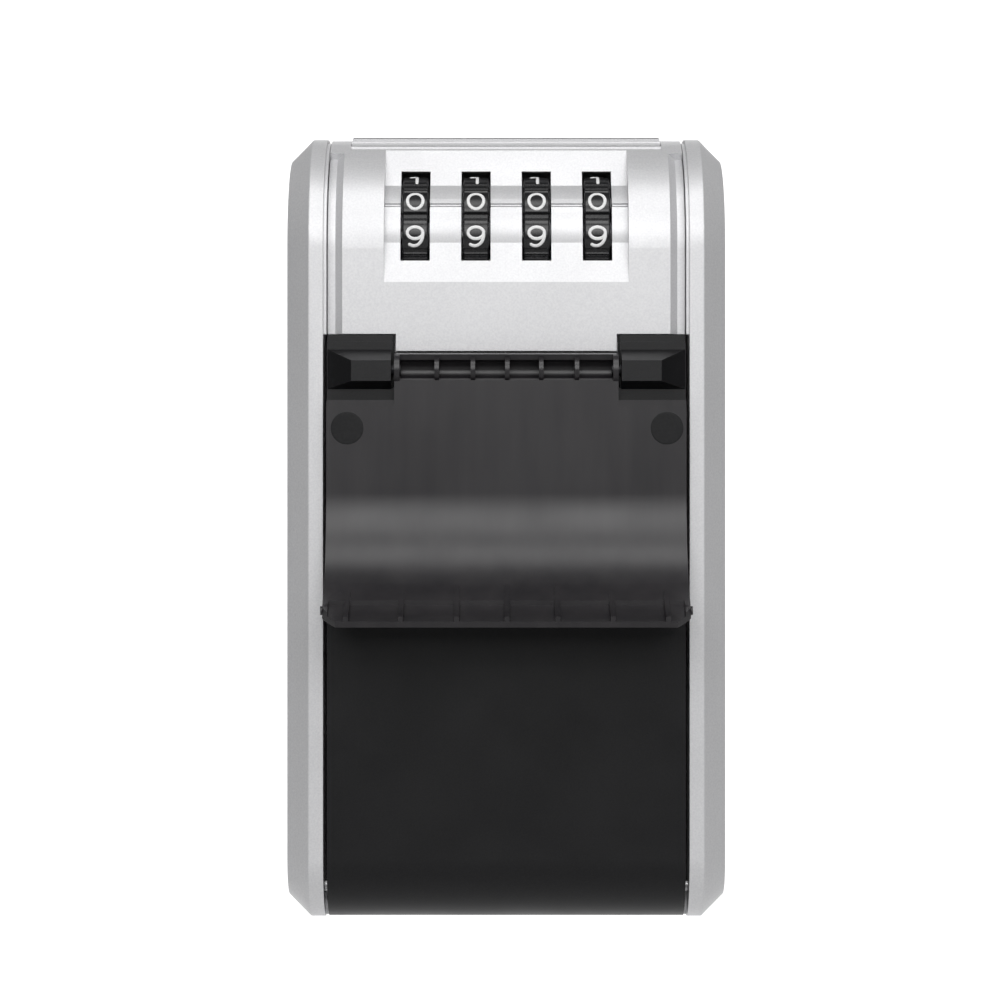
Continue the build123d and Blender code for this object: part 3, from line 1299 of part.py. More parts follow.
# Fence comb, welded to the latch plate, one finger over the collar of each wheel
with BuildPart() as fence_comb:
    with BuildSketch(FRONT.offset(-LATCH_D)):
        with Locations((0, FENCE_Z + FENCE_STRIP_H / 2)):
            Rectangle(2 * FENCE_HALF_W, FENCE_STRIP_H)
    extrude(amount=FENCE_STRIP_T)
    for x in wheel_x:
        with BuildSketch(SIDE.offset(x + FINGER_IN)):
            with BuildLine():
                Polyline(
                    (FENCE_TIP_D, FENCE_Z),
                    (FENCE_TIP_D, FENCE_Z + FENCE_T),
                    (LATCH_D, FENCE_Z + FENCE_T),
                    (LATCH_D, FENCE_Z),
                    close=True,
                )
            make_face()
        extrude(amount=FINGER_W)
fence_comb.part.label = "fence_comb"

# Return springs between the shelves and the ears of the latch plate
with BuildPart() as latch_springs:
    for side in (-1, 1):
        with BuildLine() as coil:
            Helix(
                pitch=spring_rise / SPRING_TURNS,
                height=spring_rise,
                radius=SPRING_MEAN_R,
                center=(side * SPRING_X, SPRING_D - DEPTH, SPRING_FOOT_Z + SPRING_WIRE_R),
            )
        with BuildSketch(Plane(origin=coil.line @ 0, z_dir=coil.line % 0)):
            Circle(SPRING_WIRE_R)
        sweep(path=coil.line)
latch_springs.part.label = "latch_springs"

# Release bar, pressed down by the thumb to free the door
with BuildPart() as release_bar:
    with BuildSketch(SIDE):
        with BuildLine():
            Polyline(
                (BAR_D, BAR_EDGE_Z),
                (BAR_D, LATCH_HIGH_Z),
                (BAR_BACK_D, LATCH_HIGH_Z),
                (BAR_BACK_D, BAR_EDGE_Z),
            )
            ThreePointArc(
                (BAR_BACK_D, BAR_EDGE_Z), ((BAR_D + BAR_BACK_D) / 2, BAR_CROWN_Z), (BAR_D, BAR_EDGE_Z)
            )
        make_face()
    extrude(amount=BAR_HALF_W, both=True)
    with BuildSketch(LEVEL.offset(LATCH_HIGH_Z)):
        with Locations((-BAR_SCREW_X, BAR_SCREW_D), (BAR_SCREW_X, BAR_SCREW_D)):
            Circle(BAR_SCREW_R + PRESS_GAP)
    extrude(amount=BAR_SCREW_BITE, mode=Mode.SUBTRACT)
    fillet(release_bar.edges().filter_by(Axis.Z), radius=BAR_END_R)
release_bar.part.label = "release_bar"

# Screws that hold the release bar on the latch plate
with BuildPart() as bar_screws:
    with BuildSketch(LEVEL.offset(LATCH_HIGH_Z - SHEET)):
        with Locations((-BAR_SCREW_X, BAR_SCREW_D), (BAR_SCREW_X, BAR_SCREW_D)):
            Circle(BAR_SCREW_HEAD_R)
    extrude(amount=-SCREW_HEAD_T)
    with BuildSketch(LEVEL.offset(LATCH_HIGH_Z - SHEET)):
        with Locations((-BAR_SCREW_X, BAR_SCREW_D), (BAR_SCREW_X, BAR_SCREW_D)):
            Circle(BAR_SCREW_R)
    extrude(amount=SHEET + BAR_SCREW_BITE)
bar_screws.part.label = "bar_screws"

# Mechanism cover across the back of the lock, notched for the tongues
with BuildPart() as mechanism_cover:
    with BuildSketch(FRONT.offset(-BACK_D)):
        with Locations((0, (BACK_LOW_Z + BACK_HIGH_Z) / 2)):
            Rectangle(2 * BACK_HALF_W, BACK_HIGH_Z - BACK_LOW_Z)
        with Locations((-TONGUE_X, BACK_HIGH_Z), (TONGUE_X, BACK_HIGH_Z)):
            Rectangle(BACK_NOTCH_W, 2 * (BACK_HIGH_Z - BACK_NOTCH_Z), mode=Mode.SUBTRACT)
        with Locations(*boss_places):
            Circle(SCREW_R + RUN_GAP, mode=Mode.SUBTRACT)
        with Locations((0, LEVER_Z)):
            Circle(LEVER_PIN_R + RUN_GAP, mode=Mode.SUBTRACT)
    extrude(amount=-SHEET)
mechanism_cover.part.label = "mechanism_cover"

# Screws of the mechanism cover
with BuildPart() as mechanism_screws:
    with BuildSketch(FRONT.offset(-back_rear_d)):
        with Locations(*boss_places):
            Circle(SCREW_HEAD_R)
    extrude(amount=-SCREW_HEAD_T)
    with BuildSketch(FRONT.offset(-back_rear_d)):
        with Locations(*boss_places):
            Circle(SCREW_R)
    extrude(amount=SHEET + PILOT_DEEP - SCREW_TIP_GAP)
mechanism_screws.part.label = "mechanism_screws"

# Reset lever on the inside of the door: arm and hub behind the cover, pin through it, cam in front of it
with BuildPart() as reset_lever:
    with BuildSketch(FRONT.offset(-back_rear_d - RUN_GAP)):
        with Locations((0, LEVER_Z)):
            Circle(LEVER_HUB_R)
        with Locations((0, LEVER_Z - LEVER_ARM_L / 2)):
            Rectangle(LEVER_ARM_W, LEVER_ARM_L)
        with Locations((0, LEVER_Z - LEVER_ARM_L)):
            Circle(LEVER_ARM_W / 2)
    extrude(amount=-LEVER_T)
    with BuildSketch(FRONT.offset(-back_rear_d - RUN_GAP)):
        with Locations((0, LEVER_Z)):
            Circle(LEVER_PIN_R)
    extrude(amount=SHEET + 2 * RUN_GAP + LEVER_CAM_T)
    with BuildSketch(FRONT.offset(RUN_GAP - BACK_D)):
        with Locations((0, LEVER_Z)):
            Circle(LEVER_CAM_R)
    extrude(amount=LEVER_CAM_T)
reset_lever.part.label = "reset_lever"

export_step(housing_shell.part, "parts/housing_shell.step")
export_step(door_hinge_pins.part, "parts/door_hinge_pins.step")
export_step(strike_plate.part, "parts/strike_plate.step")
export_step(strike_screws.part, "parts/strike_screws.step")
export_step(door_casting.part, "parts/door_casting.step")
export_step(lower_cover.part, "parts/lower_cover.step")
export_step(cover_screws.part, "parts/cover_screws.step")
export_step(shutter_pins.part, "parts/shutter_pins.step")
export_step(shutter.part, "parts/shutter.step")
export_step(wheel_shaft.part, "parts/wheel_shaft.step")
export_step(shaft_clips.part, "parts/shaft_clips.step")
export_step(dial_wheel_1.part, "parts/dial_wheel_1.step")
export_step(dial_wheel_2.part, "parts/dial_wheel_2.step")
export_step(dial_wheel_3.part, "parts/dial_wheel_3.step")
export_step(dial_wheel_4.part, "parts/dial_wheel_4.step")
export_step(code_hub_1.part, "parts/code_hub_1.step")
export_step(code_hub_2.part, "parts/code_hub_2.step")
export_step(code_hub_3.part, "parts/code_hub_3.step")
export_step(code_hub_4.part, "parts/code_hub_4.step")
export_step(detent_spring.part, "parts/detent_spring.step")
export_step(detent_screws.part, "parts/detent_screws.step")
export_step(latch_plate.part, "parts/latch_plate.step")
export_step(fence_comb.part, "parts/fence_comb.step")
export_step(latch_springs.part, "parts/latch_springs.step")
export_step(release_bar.part, "parts/release_bar.step")
export_step(bar_screws.part, "parts/bar_screws.step")
export_step(mechanism_cover.part, "parts/mechanism_cover.step")
export_step(mechanism_screws.part, "parts/mechanism_screws.step")
export_step(reset_lever.part, "parts/reset_lever.step")
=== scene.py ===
"""Wall key safe, dressed for the picture. Metres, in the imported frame: X right, Y into the wall, Z up."""

import math

import bmesh
import bpy
import numpy as np
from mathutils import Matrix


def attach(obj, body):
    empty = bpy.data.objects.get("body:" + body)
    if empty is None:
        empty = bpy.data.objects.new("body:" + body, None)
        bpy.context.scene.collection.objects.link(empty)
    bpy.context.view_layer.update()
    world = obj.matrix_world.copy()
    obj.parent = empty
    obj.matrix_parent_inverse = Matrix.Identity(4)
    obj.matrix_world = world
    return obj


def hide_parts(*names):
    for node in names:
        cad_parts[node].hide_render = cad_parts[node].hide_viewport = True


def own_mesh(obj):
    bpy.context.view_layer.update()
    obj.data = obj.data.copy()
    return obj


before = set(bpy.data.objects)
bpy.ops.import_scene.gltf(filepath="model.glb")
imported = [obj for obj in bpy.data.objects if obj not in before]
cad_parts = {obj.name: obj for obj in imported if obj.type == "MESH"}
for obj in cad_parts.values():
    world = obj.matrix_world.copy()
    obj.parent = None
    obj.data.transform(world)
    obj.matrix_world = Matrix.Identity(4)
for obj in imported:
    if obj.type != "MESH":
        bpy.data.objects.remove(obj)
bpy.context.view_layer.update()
scene = bpy.context.scene

# Camera, stage and light
# The camera looks straight at the front, 0.65 m from the rails. A pool of light is painted on the pale sweep
# of floor and backdrop behind the safe by its own glow, and soft lights in front, from low to steep, make the
# bright bands on its curved faces.
camera = bpy.data.objects.new("camera", bpy.data.cameras.new("camera"))
camera.location = (-0.00129, -0.698, 0.00516)
camera.rotation_euler = (math.radians(90), 0, 0)
camera.data.lens = 114.7
camera.data.sensor_width = 36
camera.data.clip_start = 0.05
camera.data.clip_end = 20
scene.collection.objects.link(camera)
scene.camera = camera
scene.view_settings.view_transform = "Standard"

sweep_r = 0.45
sweep_back = 0.85
sweep_front = -0.8
sweep_half_w = 3.0
sweep_height = 3.0
floor_z = -0.130
turn = np.linspace(0, np.pi / 2, 25)
sweep_y = np.concatenate([[sweep_front], sweep_back - sweep_r + sweep_r * np.sin(turn), [sweep_back]])
sweep_z = np.concatenate([[floor_z], floor_z + sweep_r * (1 - np.cos(turn)), [floor_z + sweep_height]])
sweep_mesh = bpy.data.meshes.new("sweep")
rows = len(sweep_y)
sweep_mesh.from_pydata(
    [(x, y, z) for x in (-sweep_half_w, sweep_half_w) for y, z in zip(sweep_y, sweep_z)],
    [],
    [(i, i + rows, i + rows + 1, i + 1) for i in range(rows - 1)],
)
sweep_mesh.shade_smooth()
sweep = bpy.data.objects.new("sweep", sweep_mesh)
scene.collection.objects.link(sweep)
# The sweep's paper carries a painted pool of light: its emission stands in for a lamp on the backdrop.
painted_glow_paper = bpy.data.materials.new("painted_glow_paper")
painted_glow_paper.use_nodes = True
paper = painted_glow_paper.node_tree.nodes["Principled BSDF"]
paper.inputs["Base Color"].default_value = (0.5, 0.5, 0.5, 1)
paper.inputs["Roughness"].default_value = 0.9
paper.inputs["Emission Color"].default_value = (1, 1, 1, 1)

# The paper's glow is a painted pool of light: full within an ellipsoid about the point of the backdrop
# straight behind the safe, and faint from pool_edge times its half sizes outwards.
pool_half = (0.28, 0.73, 0.55)
pool_edge = 1.4
full_glow, faint_glow = 0.97, 0.09
paper_nodes, paper_links = painted_glow_paper.node_tree.nodes, painted_glow_paper.node_tree.links
paper_place = paper_nodes.new("ShaderNodeTexCoord")
pool = paper_nodes.new("ShaderNodeMapping")
pool.inputs["Location"].default_value = (0, -sweep_back / pool_half[1], 0)
pool.inputs["Scale"].default_value = tuple(1 / half for half in pool_half)
spread = paper_nodes.new("ShaderNodeVectorMath")
spread.operation = "LENGTH"
glow = paper_nodes.new("ShaderNodeMapRange")
glow.interpolation_type = "SMOOTHSTEP"
glow.inputs["From Min"].default_value = 1.0
glow.inputs["From Max"].default_value = pool_edge
glow.inputs["To Min"].default_value = full_glow
glow.inputs["To Max"].default_value = faint_glow
paper_links.new(paper_place.outputs["Object"], pool.inputs["Vector"])
paper_links.new(pool.outputs["Vector"], spread.inputs[0])
paper_links.new(spread.outputs["Value"], glow.inputs["Value"])
paper_links.new(glow.outputs["Result"], paper.inputs["Emission Strength"])
sweep_mesh.materials.append(painted_glow_paper)

world = bpy.data.worlds.new("studio")
world.use_nodes = True
world.node_tree.nodes["Background"].inputs["Color"].default_value = (1, 1, 1, 1)
world.node_tree.nodes["Background"].inputs["Strength"].default_value = 0.055
scene.world = world

# Each light is a rectangle that faces the middle of the safe's back, the frame's origin.
for name, place, size, power in (
    ("low_front", (0.0, -1.5, 0.35), (0.9, 0.4), 2.7),
    ("mid_front", (0.0, -1.35, 0.65), (1.2, 0.45), 5.6),
    ("key_light", (0.0, -1.10, 1.02), (1.4, 0.65), 3.8),
    ("steep_light", (0.0, -0.75, 1.25), (1.4, 0.45), 6.0),
    ("top_light", (0.0, -0.25, 1.45), (1.2, 0.6), 0.5),
    ("right_front", (0.75, -1.25, 0.25), (0.4, 0.8), 0.6),
    ("right_panel", (1.08, -0.91, 0.51), (0.6, 1.0), 0.3),
):
    light = bpy.data.objects.new(name, bpy.data.lights.new(name, "AREA"))
    light.data.shape = "RECTANGLE"
    light.data.size, light.data.size_y = size
    light.data.energy = power
    light.location = place
    light.rotation_euler = (
        math.atan2(math.hypot(place[0], place[1]), place[2]),
        0,
        math.atan2(-place[1], -place[0]) - math.pi / 2,
    )
    scene.collection.objects.link(light)

# Housing
# Die-cast shell of two chamfered rails joined by the wall plate, in satin silver paint whose metallic flake
# shows as a fine grain. Four screws through its back hold it to the wall.
mm = 0.001
rails_front = -0.048
sharp_edge = math.radians(24)


def finish(name, dark, light, scale, rough, relief, metallic=0.0, stretch=(1, 1, 1), shine=0.5):
    """Material on Object coordinates.

    Fine noise runs the colour from dark to light and lifts the surface by relief metres, and coarse noise
    runs the roughness between the two values of rough. stretch draws the fine noise out along an axis, as
    brushing does, and shine is the strength of the clear reflection.
    """
    noise_low, noise_high = 0.3, 0.7
    material = bpy.data.materials.new(name)
    material.use_nodes = True
    nodes, links = material.node_tree.nodes, material.node_tree.links
    shader = nodes["Principled BSDF"]
    shader.inputs["Metallic"].default_value = metallic
    shader.inputs["Specular IOR Level"].default_value = shine
    place = nodes.new("ShaderNodeTexCoord")
    drawn = nodes.new("ShaderNodeMapping")
    drawn.inputs["Scale"].default_value = stretch
    grain = nodes.new("ShaderNodeTexNoise")
    grain.inputs["Scale"].default_value = scale
    grain.inputs["Detail"].default_value = 3
    cloud = nodes.new("ShaderNodeTexNoise")
    cloud.inputs["Scale"].default_value = 70
    tone = nodes.new("ShaderNodeValToRGB")
    tone.color_ramp.elements[0].position = noise_low
    tone.color_ramp.elements[0].color = (*dark, 1)
    tone.color_ramp.elements[1].position = noise_high
    tone.color_ramp.elements[1].color = (*light, 1)
    gloss = nodes.new("ShaderNodeMapRange")
    gloss.inputs["From Min"].default_value = noise_low
    gloss.inputs["From Max"].default_value = noise_high
    gloss.inputs["To Min"].default_value = rough[0]
    gloss.inputs["To Max"].default_value = rough[1]
    bump = nodes.new("ShaderNodeBump")
    bump.inputs["Strength"].default_value = 1.0
    bump.inputs["Distance"].default_value = relief
    links.new(place.outputs["Object"], drawn.inputs["Vector"])
    links.new(drawn.outputs["Vector"], grain.inputs["Vector"])
    links.new(place.outputs["Object"], cloud.inputs["Vector"])
    links.new(grain.outputs["Fac"], tone.inputs["Fac"])
    links.new(tone.outputs["Color"], shader.inputs["Base Color"])
    links.new(cloud.outputs["Fac"], gloss.inputs["Value"])
    links.new(gloss.outputs["Result"], shader.inputs["Roughness"])
    links.new(grain.outputs["Fac"], bump.inputs["Height"])
    links.new(bump.outputs["Normal"], shader.inputs["Normal"])
    return material


def rounded(piece, width, segments):
    """Bevel on the edges of a piece that are sharper than sharp_edge."""
    edge = piece.modifiers.new("edges", "BEVEL")
    edge.limit_method = "ANGLE"
    edge.angle_limit = sharp_edge
    edge.width = width
    edge.segments = segments
    edge.use_clamp_overlap = True


def eased(node, piece, body, material, width):
    """Copy of a CAD solid as a piece of its own, its edges rounded to width and its flats shaded flat."""
    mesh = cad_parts[node].data.copy()
    mesh.name = piece
    mesh.materials.clear()
    bm = bmesh.new()
    bm.from_mesh(mesh)
    bmesh.ops.remove_doubles(bm, verts=bm.verts, dist=1e-6)
    bmesh.ops.dissolve_limit(bm, angle_limit=math.radians(0.5), verts=bm.verts, edges=bm.edges)
    bm.to_mesh(mesh)
    bm.free()
    mesh.shade_smooth()
    mesh.set_sharp_from_angle(angle=sharp_edge)
    mesh.materials.append(material)
    made = bpy.data.objects.new(piece, mesh)
    scene.collection.objects.link(made)
    rounded(made, width, segments=2)
    flats = made.modifiers.new("flats", "WEIGHTED_NORMAL")
    flats.keep_sharp = True
    flats.weight = 80
    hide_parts(node)
    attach(made, body)


def grid_faces(n_rows, n_round, ring=False):
    """Four-cornered faces of a grid that closes round each row and, on a ring, from last row to first."""
    i, j = np.meshgrid(np.arange(n_rows - (not ring)), np.arange(n_round), indexing="ij")
    i2, j2 = (i + 1) % n_rows, (j + 1) % n_round
    corners = [i * n_round + j, i2 * n_round + j, i2 * n_round + j2, i * n_round + j2]
    return np.stack(corners, axis=-1).reshape(-1, 4)


def surface(piece, verts, faces, material):
    """Smooth object from an array of corners and a list of faces, doubles merged and faces outwards."""
    mesh = bpy.data.meshes.new(piece)
    mesh.from_pydata(verts.reshape(-1, 3).tolist(), [], faces)
    bm = bmesh.new()
    bm.from_mesh(mesh)
    bmesh.ops.remove_doubles(bm, verts=bm.verts, dist=1e-8)
    bmesh.ops.recalc_face_normals(bm, faces=bm.faces)
    bmesh.ops.triangulate(bm, faces=[face for face in bm.faces if len(face.verts) > 4])
    bm.to_mesh(mesh)
    bm.free()
    mesh.shade_smooth()
    mesh.materials.append(material)
    made = bpy.data.objects.new(piece, mesh)
    scene.collection.objects.link(made)
    return made


silver = finish(
    "silver_paint", (0.70, 0.70, 0.715), (0.78, 0.78, 0.79), 2600, (0.36, 0.44), 0.000004, metallic=0.3
)
eased("housing_shell", "housing", "housing", silver, 0.0004)


def carried_profile(piece, profile, left, right, body):
    """Silver strip: a closed profile carried straight along X from left to right, with flat ends.

    The profile's points are (depth, height) in millimetres, so Y is the rails' front plus the depth and Z is
    the height. left and right are in millimetres too.
    """
    line = np.asarray(profile, dtype=float) * mm
    ends = np.array([left, right])[:, None] * mm
    verts = np.stack(
        [
            np.broadcast_to(ends, (2, len(line))),
            np.broadcast_to(rails_front + line[:, 0], (2, len(line))),
            np.broadcast_to(line[:, 1], (2, len(line))),
        ],
        axis=-1,
    )
    caps = np.arange(2 * len(line)).reshape(2, -1)
    made = surface(piece, verts, grid_faces(2, len(line)).tolist() + caps.tolist(), silver)
    made.data.set_sharp_from_angle(angle=sharp_edge)
    rounded(made, 0.00006, segments=1)
    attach(made, body)


# Each rail's inner side stands a step closer to the door from 0.8 mm behind the rail's front. The step keeps
# to the bend of the rail and runs straight down below it. These sizes are in millimetres.
bend_d, bend_z = 24.5, 56.75
step_front_r, step_back_r = 23.7, 22.4
step_low_z = 39.0
step_in, step_out = 36.75, 37.5
step_turn = np.radians(np.linspace(84, 0, 24))
bend = np.stack([-np.cos(step_turn), np.sin(step_turn)], axis=-1)
step_front = (bend_d, bend_z) + step_front_r * bend
step_back = (bend_d, bend_z) + step_back_r * bend
step_foot = [(bend_d - step_front_r, step_low_z), (bend_d - step_back_r, step_low_z)]
step_profile = np.concatenate([step_front, step_foot, step_back[::-1]])
carried_profile("left_rail_step", step_profile, -step_out, -step_in, "housing")
carried_profile("right_rail_step", step_profile, step_in, step_out, "housing")

# Door casting
# The silver door between the rails, cast with the dial recess and the stepped rabbet, in the same paint. The
# finer steps of the rabbet and the bead over the wheels are strips of their own.
eased("door_casting", "door", "door", silver, 0.00022)

# The rabbet climbs from its front tread by three risers. The first is undercut, which shows as a dark line.
# Its sizes are in millimetres.
rabbet_half_w = 32.45
rabbet_profile = (
    (17.9, 78.2),
    (18.05, 78.45),
    (18.35, 79.0),
    (21.0, 79.1),
    (21.0, 79.58),
    (19.75, 79.6),
    (20.3, 80.2),
    (22.0, 80.25),
    (22.1, 80.85),
    (24.0, 81.0),
    (24.5, 81.66),
    (26.8, 81.66),
    (26.8, 78.2),
)
carried_profile("door_rabbet", rabbet_profile, -rabbet_half_w, rabbet_half_w, "door")

# A bead runs along the middle of the groove over the wheels, broken where each wheel's slot cuts through it.
# These sizes are in millimetres.
wheel_axis = np.array([17.0, 60.3])
wheel_count = 4
wheel_pitch = 12.5
wheel_xs = [(number - (wheel_count - 1) / 2) * wheel_pitch for number in range(wheel_count)]
slot_half = 3.03
bead_end = 25.05
bead_low_r, bead_top_r = 10.8, 11.42
bead_half = 0.2
bead_turn = math.radians(29.5)
bead_out = np.array([-math.cos(bead_turn), math.sin(bead_turn)])
bead_up = np.array([math.sin(bead_turn), math.cos(bead_turn)])
bead_profile = [
    wheel_axis + out * bead_out + up * bead_up
    for out, up in (
        (bead_low_r, -bead_half),
        (bead_top_r, -bead_half),
        (bead_top_r, bead_half),
        (bead_low_r, bead_half),
    )
]
bead_lefts = [-bead_end] + [x + slot_half for x in wheel_xs]
bead_rights = [x - slot_half for x in wheel_xs] + [bead_end]
for number, (left, right) in enumerate(zip(bead_lefts, bead_rights), start=1):
    carried_profile(f"bulge_bead_{number}", bead_profile, left, right, "door")

# Lower cover
# Black moulding with a fine spark-eroded satin texture, screwed over the lower door from behind. Its two lugs
# carry the shutter.
cover_black = finish(
    "cover_plastic", (0.004, 0.004, 0.005), (0.008, 0.008, 0.009), 3000, (0.30, 0.38), 0.000006, shine=0.35
)
eased("lower_cover", "cover", "door", cover_black, 0.00025)

# Shutter
# Moulded weather shutter, hanging open with its satin inside to the viewer. The round marks are where the
# mould's ejector pins pushed it out: two large ones by the hinge and two small ones in the lip.
shutter_black = finish(
    "shutter_plastic",
    (0.016, 0.0147, 0.017),
    (0.025, 0.0227, 0.025),
    260,
    (0.29, 0.36),
    0.000003,
    stretch=(1, 1, 0.12),
)
eased("shutter", "shutter_skin", "shutter", shutter_black, 0.0002)
pin_black = finish(
    "ejector_mark", (0.005, 0.005, 0.006), (0.009, 0.009, 0.010), 1800, (0.50, 0.60), 0.000003, shine=0.3
)


def ejector_mark(piece, centre, tilt, radius):
    """Disc left by an ejector pin, leant back from upright by tilt.

    Its face stands 0.04 mm proud as far as 0.85 of the radius and rounds off from there, and its rim is sunk
    0.05 mm into the shutter.
    """
    reach = np.array([0, 0.3, 0.6, 0.85, 0.95, 0.985, 1.0])
    rise = np.array([0.04, 0.04, 0.04, 0.04, 0.037, 0.025, -0.05]) * mm
    turns = np.linspace(0, 2 * np.pi, 64, endpoint=False)
    across = radius * reach[:, None] * np.cos(turns)
    along = radius * reach[:, None] * np.sin(turns)
    lift = np.broadcast_to(rise[:, None], across.shape)
    verts = np.stack(
        [
            centre[0] + across,
            centre[1] - lift * np.cos(tilt) + along * np.sin(tilt),
            centre[2] + lift * np.sin(tilt) + along * np.cos(tilt),
        ],
        axis=-1,
    )
    made = surface(piece, verts, grid_faces(*across.shape).tolist(), pin_black)
    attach(made, "shutter")


large_mark_r, small_mark_r = 0.00335, 0.0014
lip_tilt = math.radians(67.3)
for name, centre, tilt, radius in (
    ("ejector_mark_1", (-0.03235, -0.0509, 0.01976), 0, large_mark_r),
    ("ejector_mark_2", (0.03264, -0.0509, 0.01976), 0, large_mark_r),
    ("ejector_mark_3", (-0.01596, -0.06594, -0.0172), lip_tilt, small_mark_r),
    ("ejector_mark_4", (0.01620, -0.06594, -0.0172), lip_tilt, small_mark_r),
):
    ejector_mark(name, centre, tilt, radius)

# Release bar
# Dull black moulded bar over the top edge of the door. It is screwed to the latch plate, and the thumb
# presses it down to let the door open.
bar_black = finish(
    "bar_plastic", (0.004, 0.004, 0.005), (0.008, 0.008, 0.009), 3000, (0.6, 0.7), 0.000006, shine=0.12
)
eased("release_bar", "release_bar_cap", "latch", bar_black, 0.0002)

# Dial wheels
# Four gloss black wheels on one shaft, each moulded with ten convex pads. The digits are white and stand a
# little proud of the pads.
wheel_black = finish(
    "wheel_plastic", (0.010, 0.010, 0.011), (0.016, 0.016, 0.018), 900, (0.20, 0.28), 0.000002
)
digit_white = finish("digit_paint", (0.93, 0.93, 0.93), (0.98, 0.98, 0.98), 1500, (0.45, 0.55), 0.000003)
wheel_y = rails_front + wheel_axis[0] * mm
wheel_z = wheel_axis[1] * mm
wheel_r = 0.0125
wheel_w = 0.0053
bore_r = 0.0036
groove_depth = 0.0011
ridge_height = 0.0002
pad_turn = math.radians(36)
zero_turn = math.radians(31.5)
pad_half = math.radians(12)
pad_crown = 0.00025
stroke_half = 0.00034
stroke_rise = 0.00016
stroke_steps = 49
stroke_sides = 12


def wheel_surface(x):
    """Closed ring of a wheel.

    Round the rim the radius is R - 0.25 mm * u**2 on a pad, u running from -1 to 1 over 24 degrees. Past the
    pad it falls by a smooth step to a groove 1.1 mm deep, which holds a fine ridge 0.2 mm high in its middle.
    Rows run from the bore over the left face, the rounded rim and the right face back to the bore.
    """
    turns = np.linspace(0, 2 * np.pi, 1080, endpoint=False)
    off = (turns - zero_turn + pad_turn / 2) % pad_turn - pad_turn / 2
    u = np.abs(off) / pad_half
    pad = wheel_r - pad_crown * u**2
    drop = np.clip((u - 0.96) / 0.14, 0, 1)
    drop = drop * drop * (3 - 2 * drop)
    ridge = ridge_height * np.exp(-(((u - 1.5) / 0.07) ** 2))
    rim = pad * (1 - drop) + (wheel_r - groove_depth + ridge) * drop
    edge_x = np.array([0.43, 0.46, 0.49, 0.5, 0.5]) * wheel_w
    edge_sink = np.array([0.0, 0.00003, 0.00012, 0.00028, 0.0022])
    rows_x = np.concatenate([[-wheel_w / 2], -edge_x[::-1], edge_x, [wheel_w / 2]])
    sink = np.concatenate([edge_sink[::-1], edge_sink])
    bore = np.full((1, len(rim)), bore_r)
    radii = np.concatenate([bore, rim - sink[:, None], bore])
    verts = np.stack(
        [
            np.broadcast_to(x + rows_x[:, None], radii.shape),
            wheel_y - radii * np.cos(turns),
            wheel_z + radii * np.sin(turns),
        ],
        axis=-1,
    )
    return verts, grid_faces(*radii.shape, ring=True)


def bow(x, z, wide, high, start, end):
    """Part of an ellipse about (x, z), in millimetres, its angle in degrees from the right upwards."""
    turns = np.radians(np.linspace(start, end, 49))
    return np.stack([x + wide * np.cos(turns), z + high * np.sin(turns)], axis=-1)


def bar(*points):
    """Straight run between points in millimetres."""
    return np.array(points, dtype=float)


# The strokes of each digit from 0 to 9, in millimetres from the middle of its pad.
digit_strokes = (
    (bow(0, 0, 1.60, 1.92, 0, 360),),
    (bar((-1.0, 1.2), (0.25, 1.95)), bar((0.25, 1.95), (0.25, -1.95))),
    (
        np.concatenate([bow(0, 0.8, 1.55, 1.15, 165, -35), bar((-1.5, -1.9))]),
        bar((-1.55, -1.95), (1.6, -1.95)),
    ),
    (bow(-0.05, 0.95, 1.4, 1.0, 150, -90), bow(-0.05, -0.98, 1.6, 1.0, 90, -150)),
    (bar((0.7, 1.95), (-1.6, -0.75)), bar((-1.6, -0.75), (1.65, -0.75)), bar((0.75, 1.95), (0.75, -1.95))),
    (bar((1.3, 1.95), (-1.1, 1.95)), bar((-1.1, 1.95), (-1.3, 0.2)), bow(-0.1, -0.65, 1.65, 1.3, 135, -150)),
    (bow(0, -0.75, 1.6, 1.22, 0, 360), bow(0.25, -0.45, 1.85, 2.4, 187, 62)),
    (bar((-1.55, 1.95), (1.55, 1.95)), bar((1.55, 1.95), (-0.5, -1.95))),
    (bow(0, 1.0, 1.3, 0.95, 0, 360), bow(0, -0.95, 1.6, 1.0, 0, 360)),
    (bow(0, 0.75, 1.6, 1.22, 0, 360), bow(-0.25, 0.45, 1.85, 2.4, 7, -118)),
)


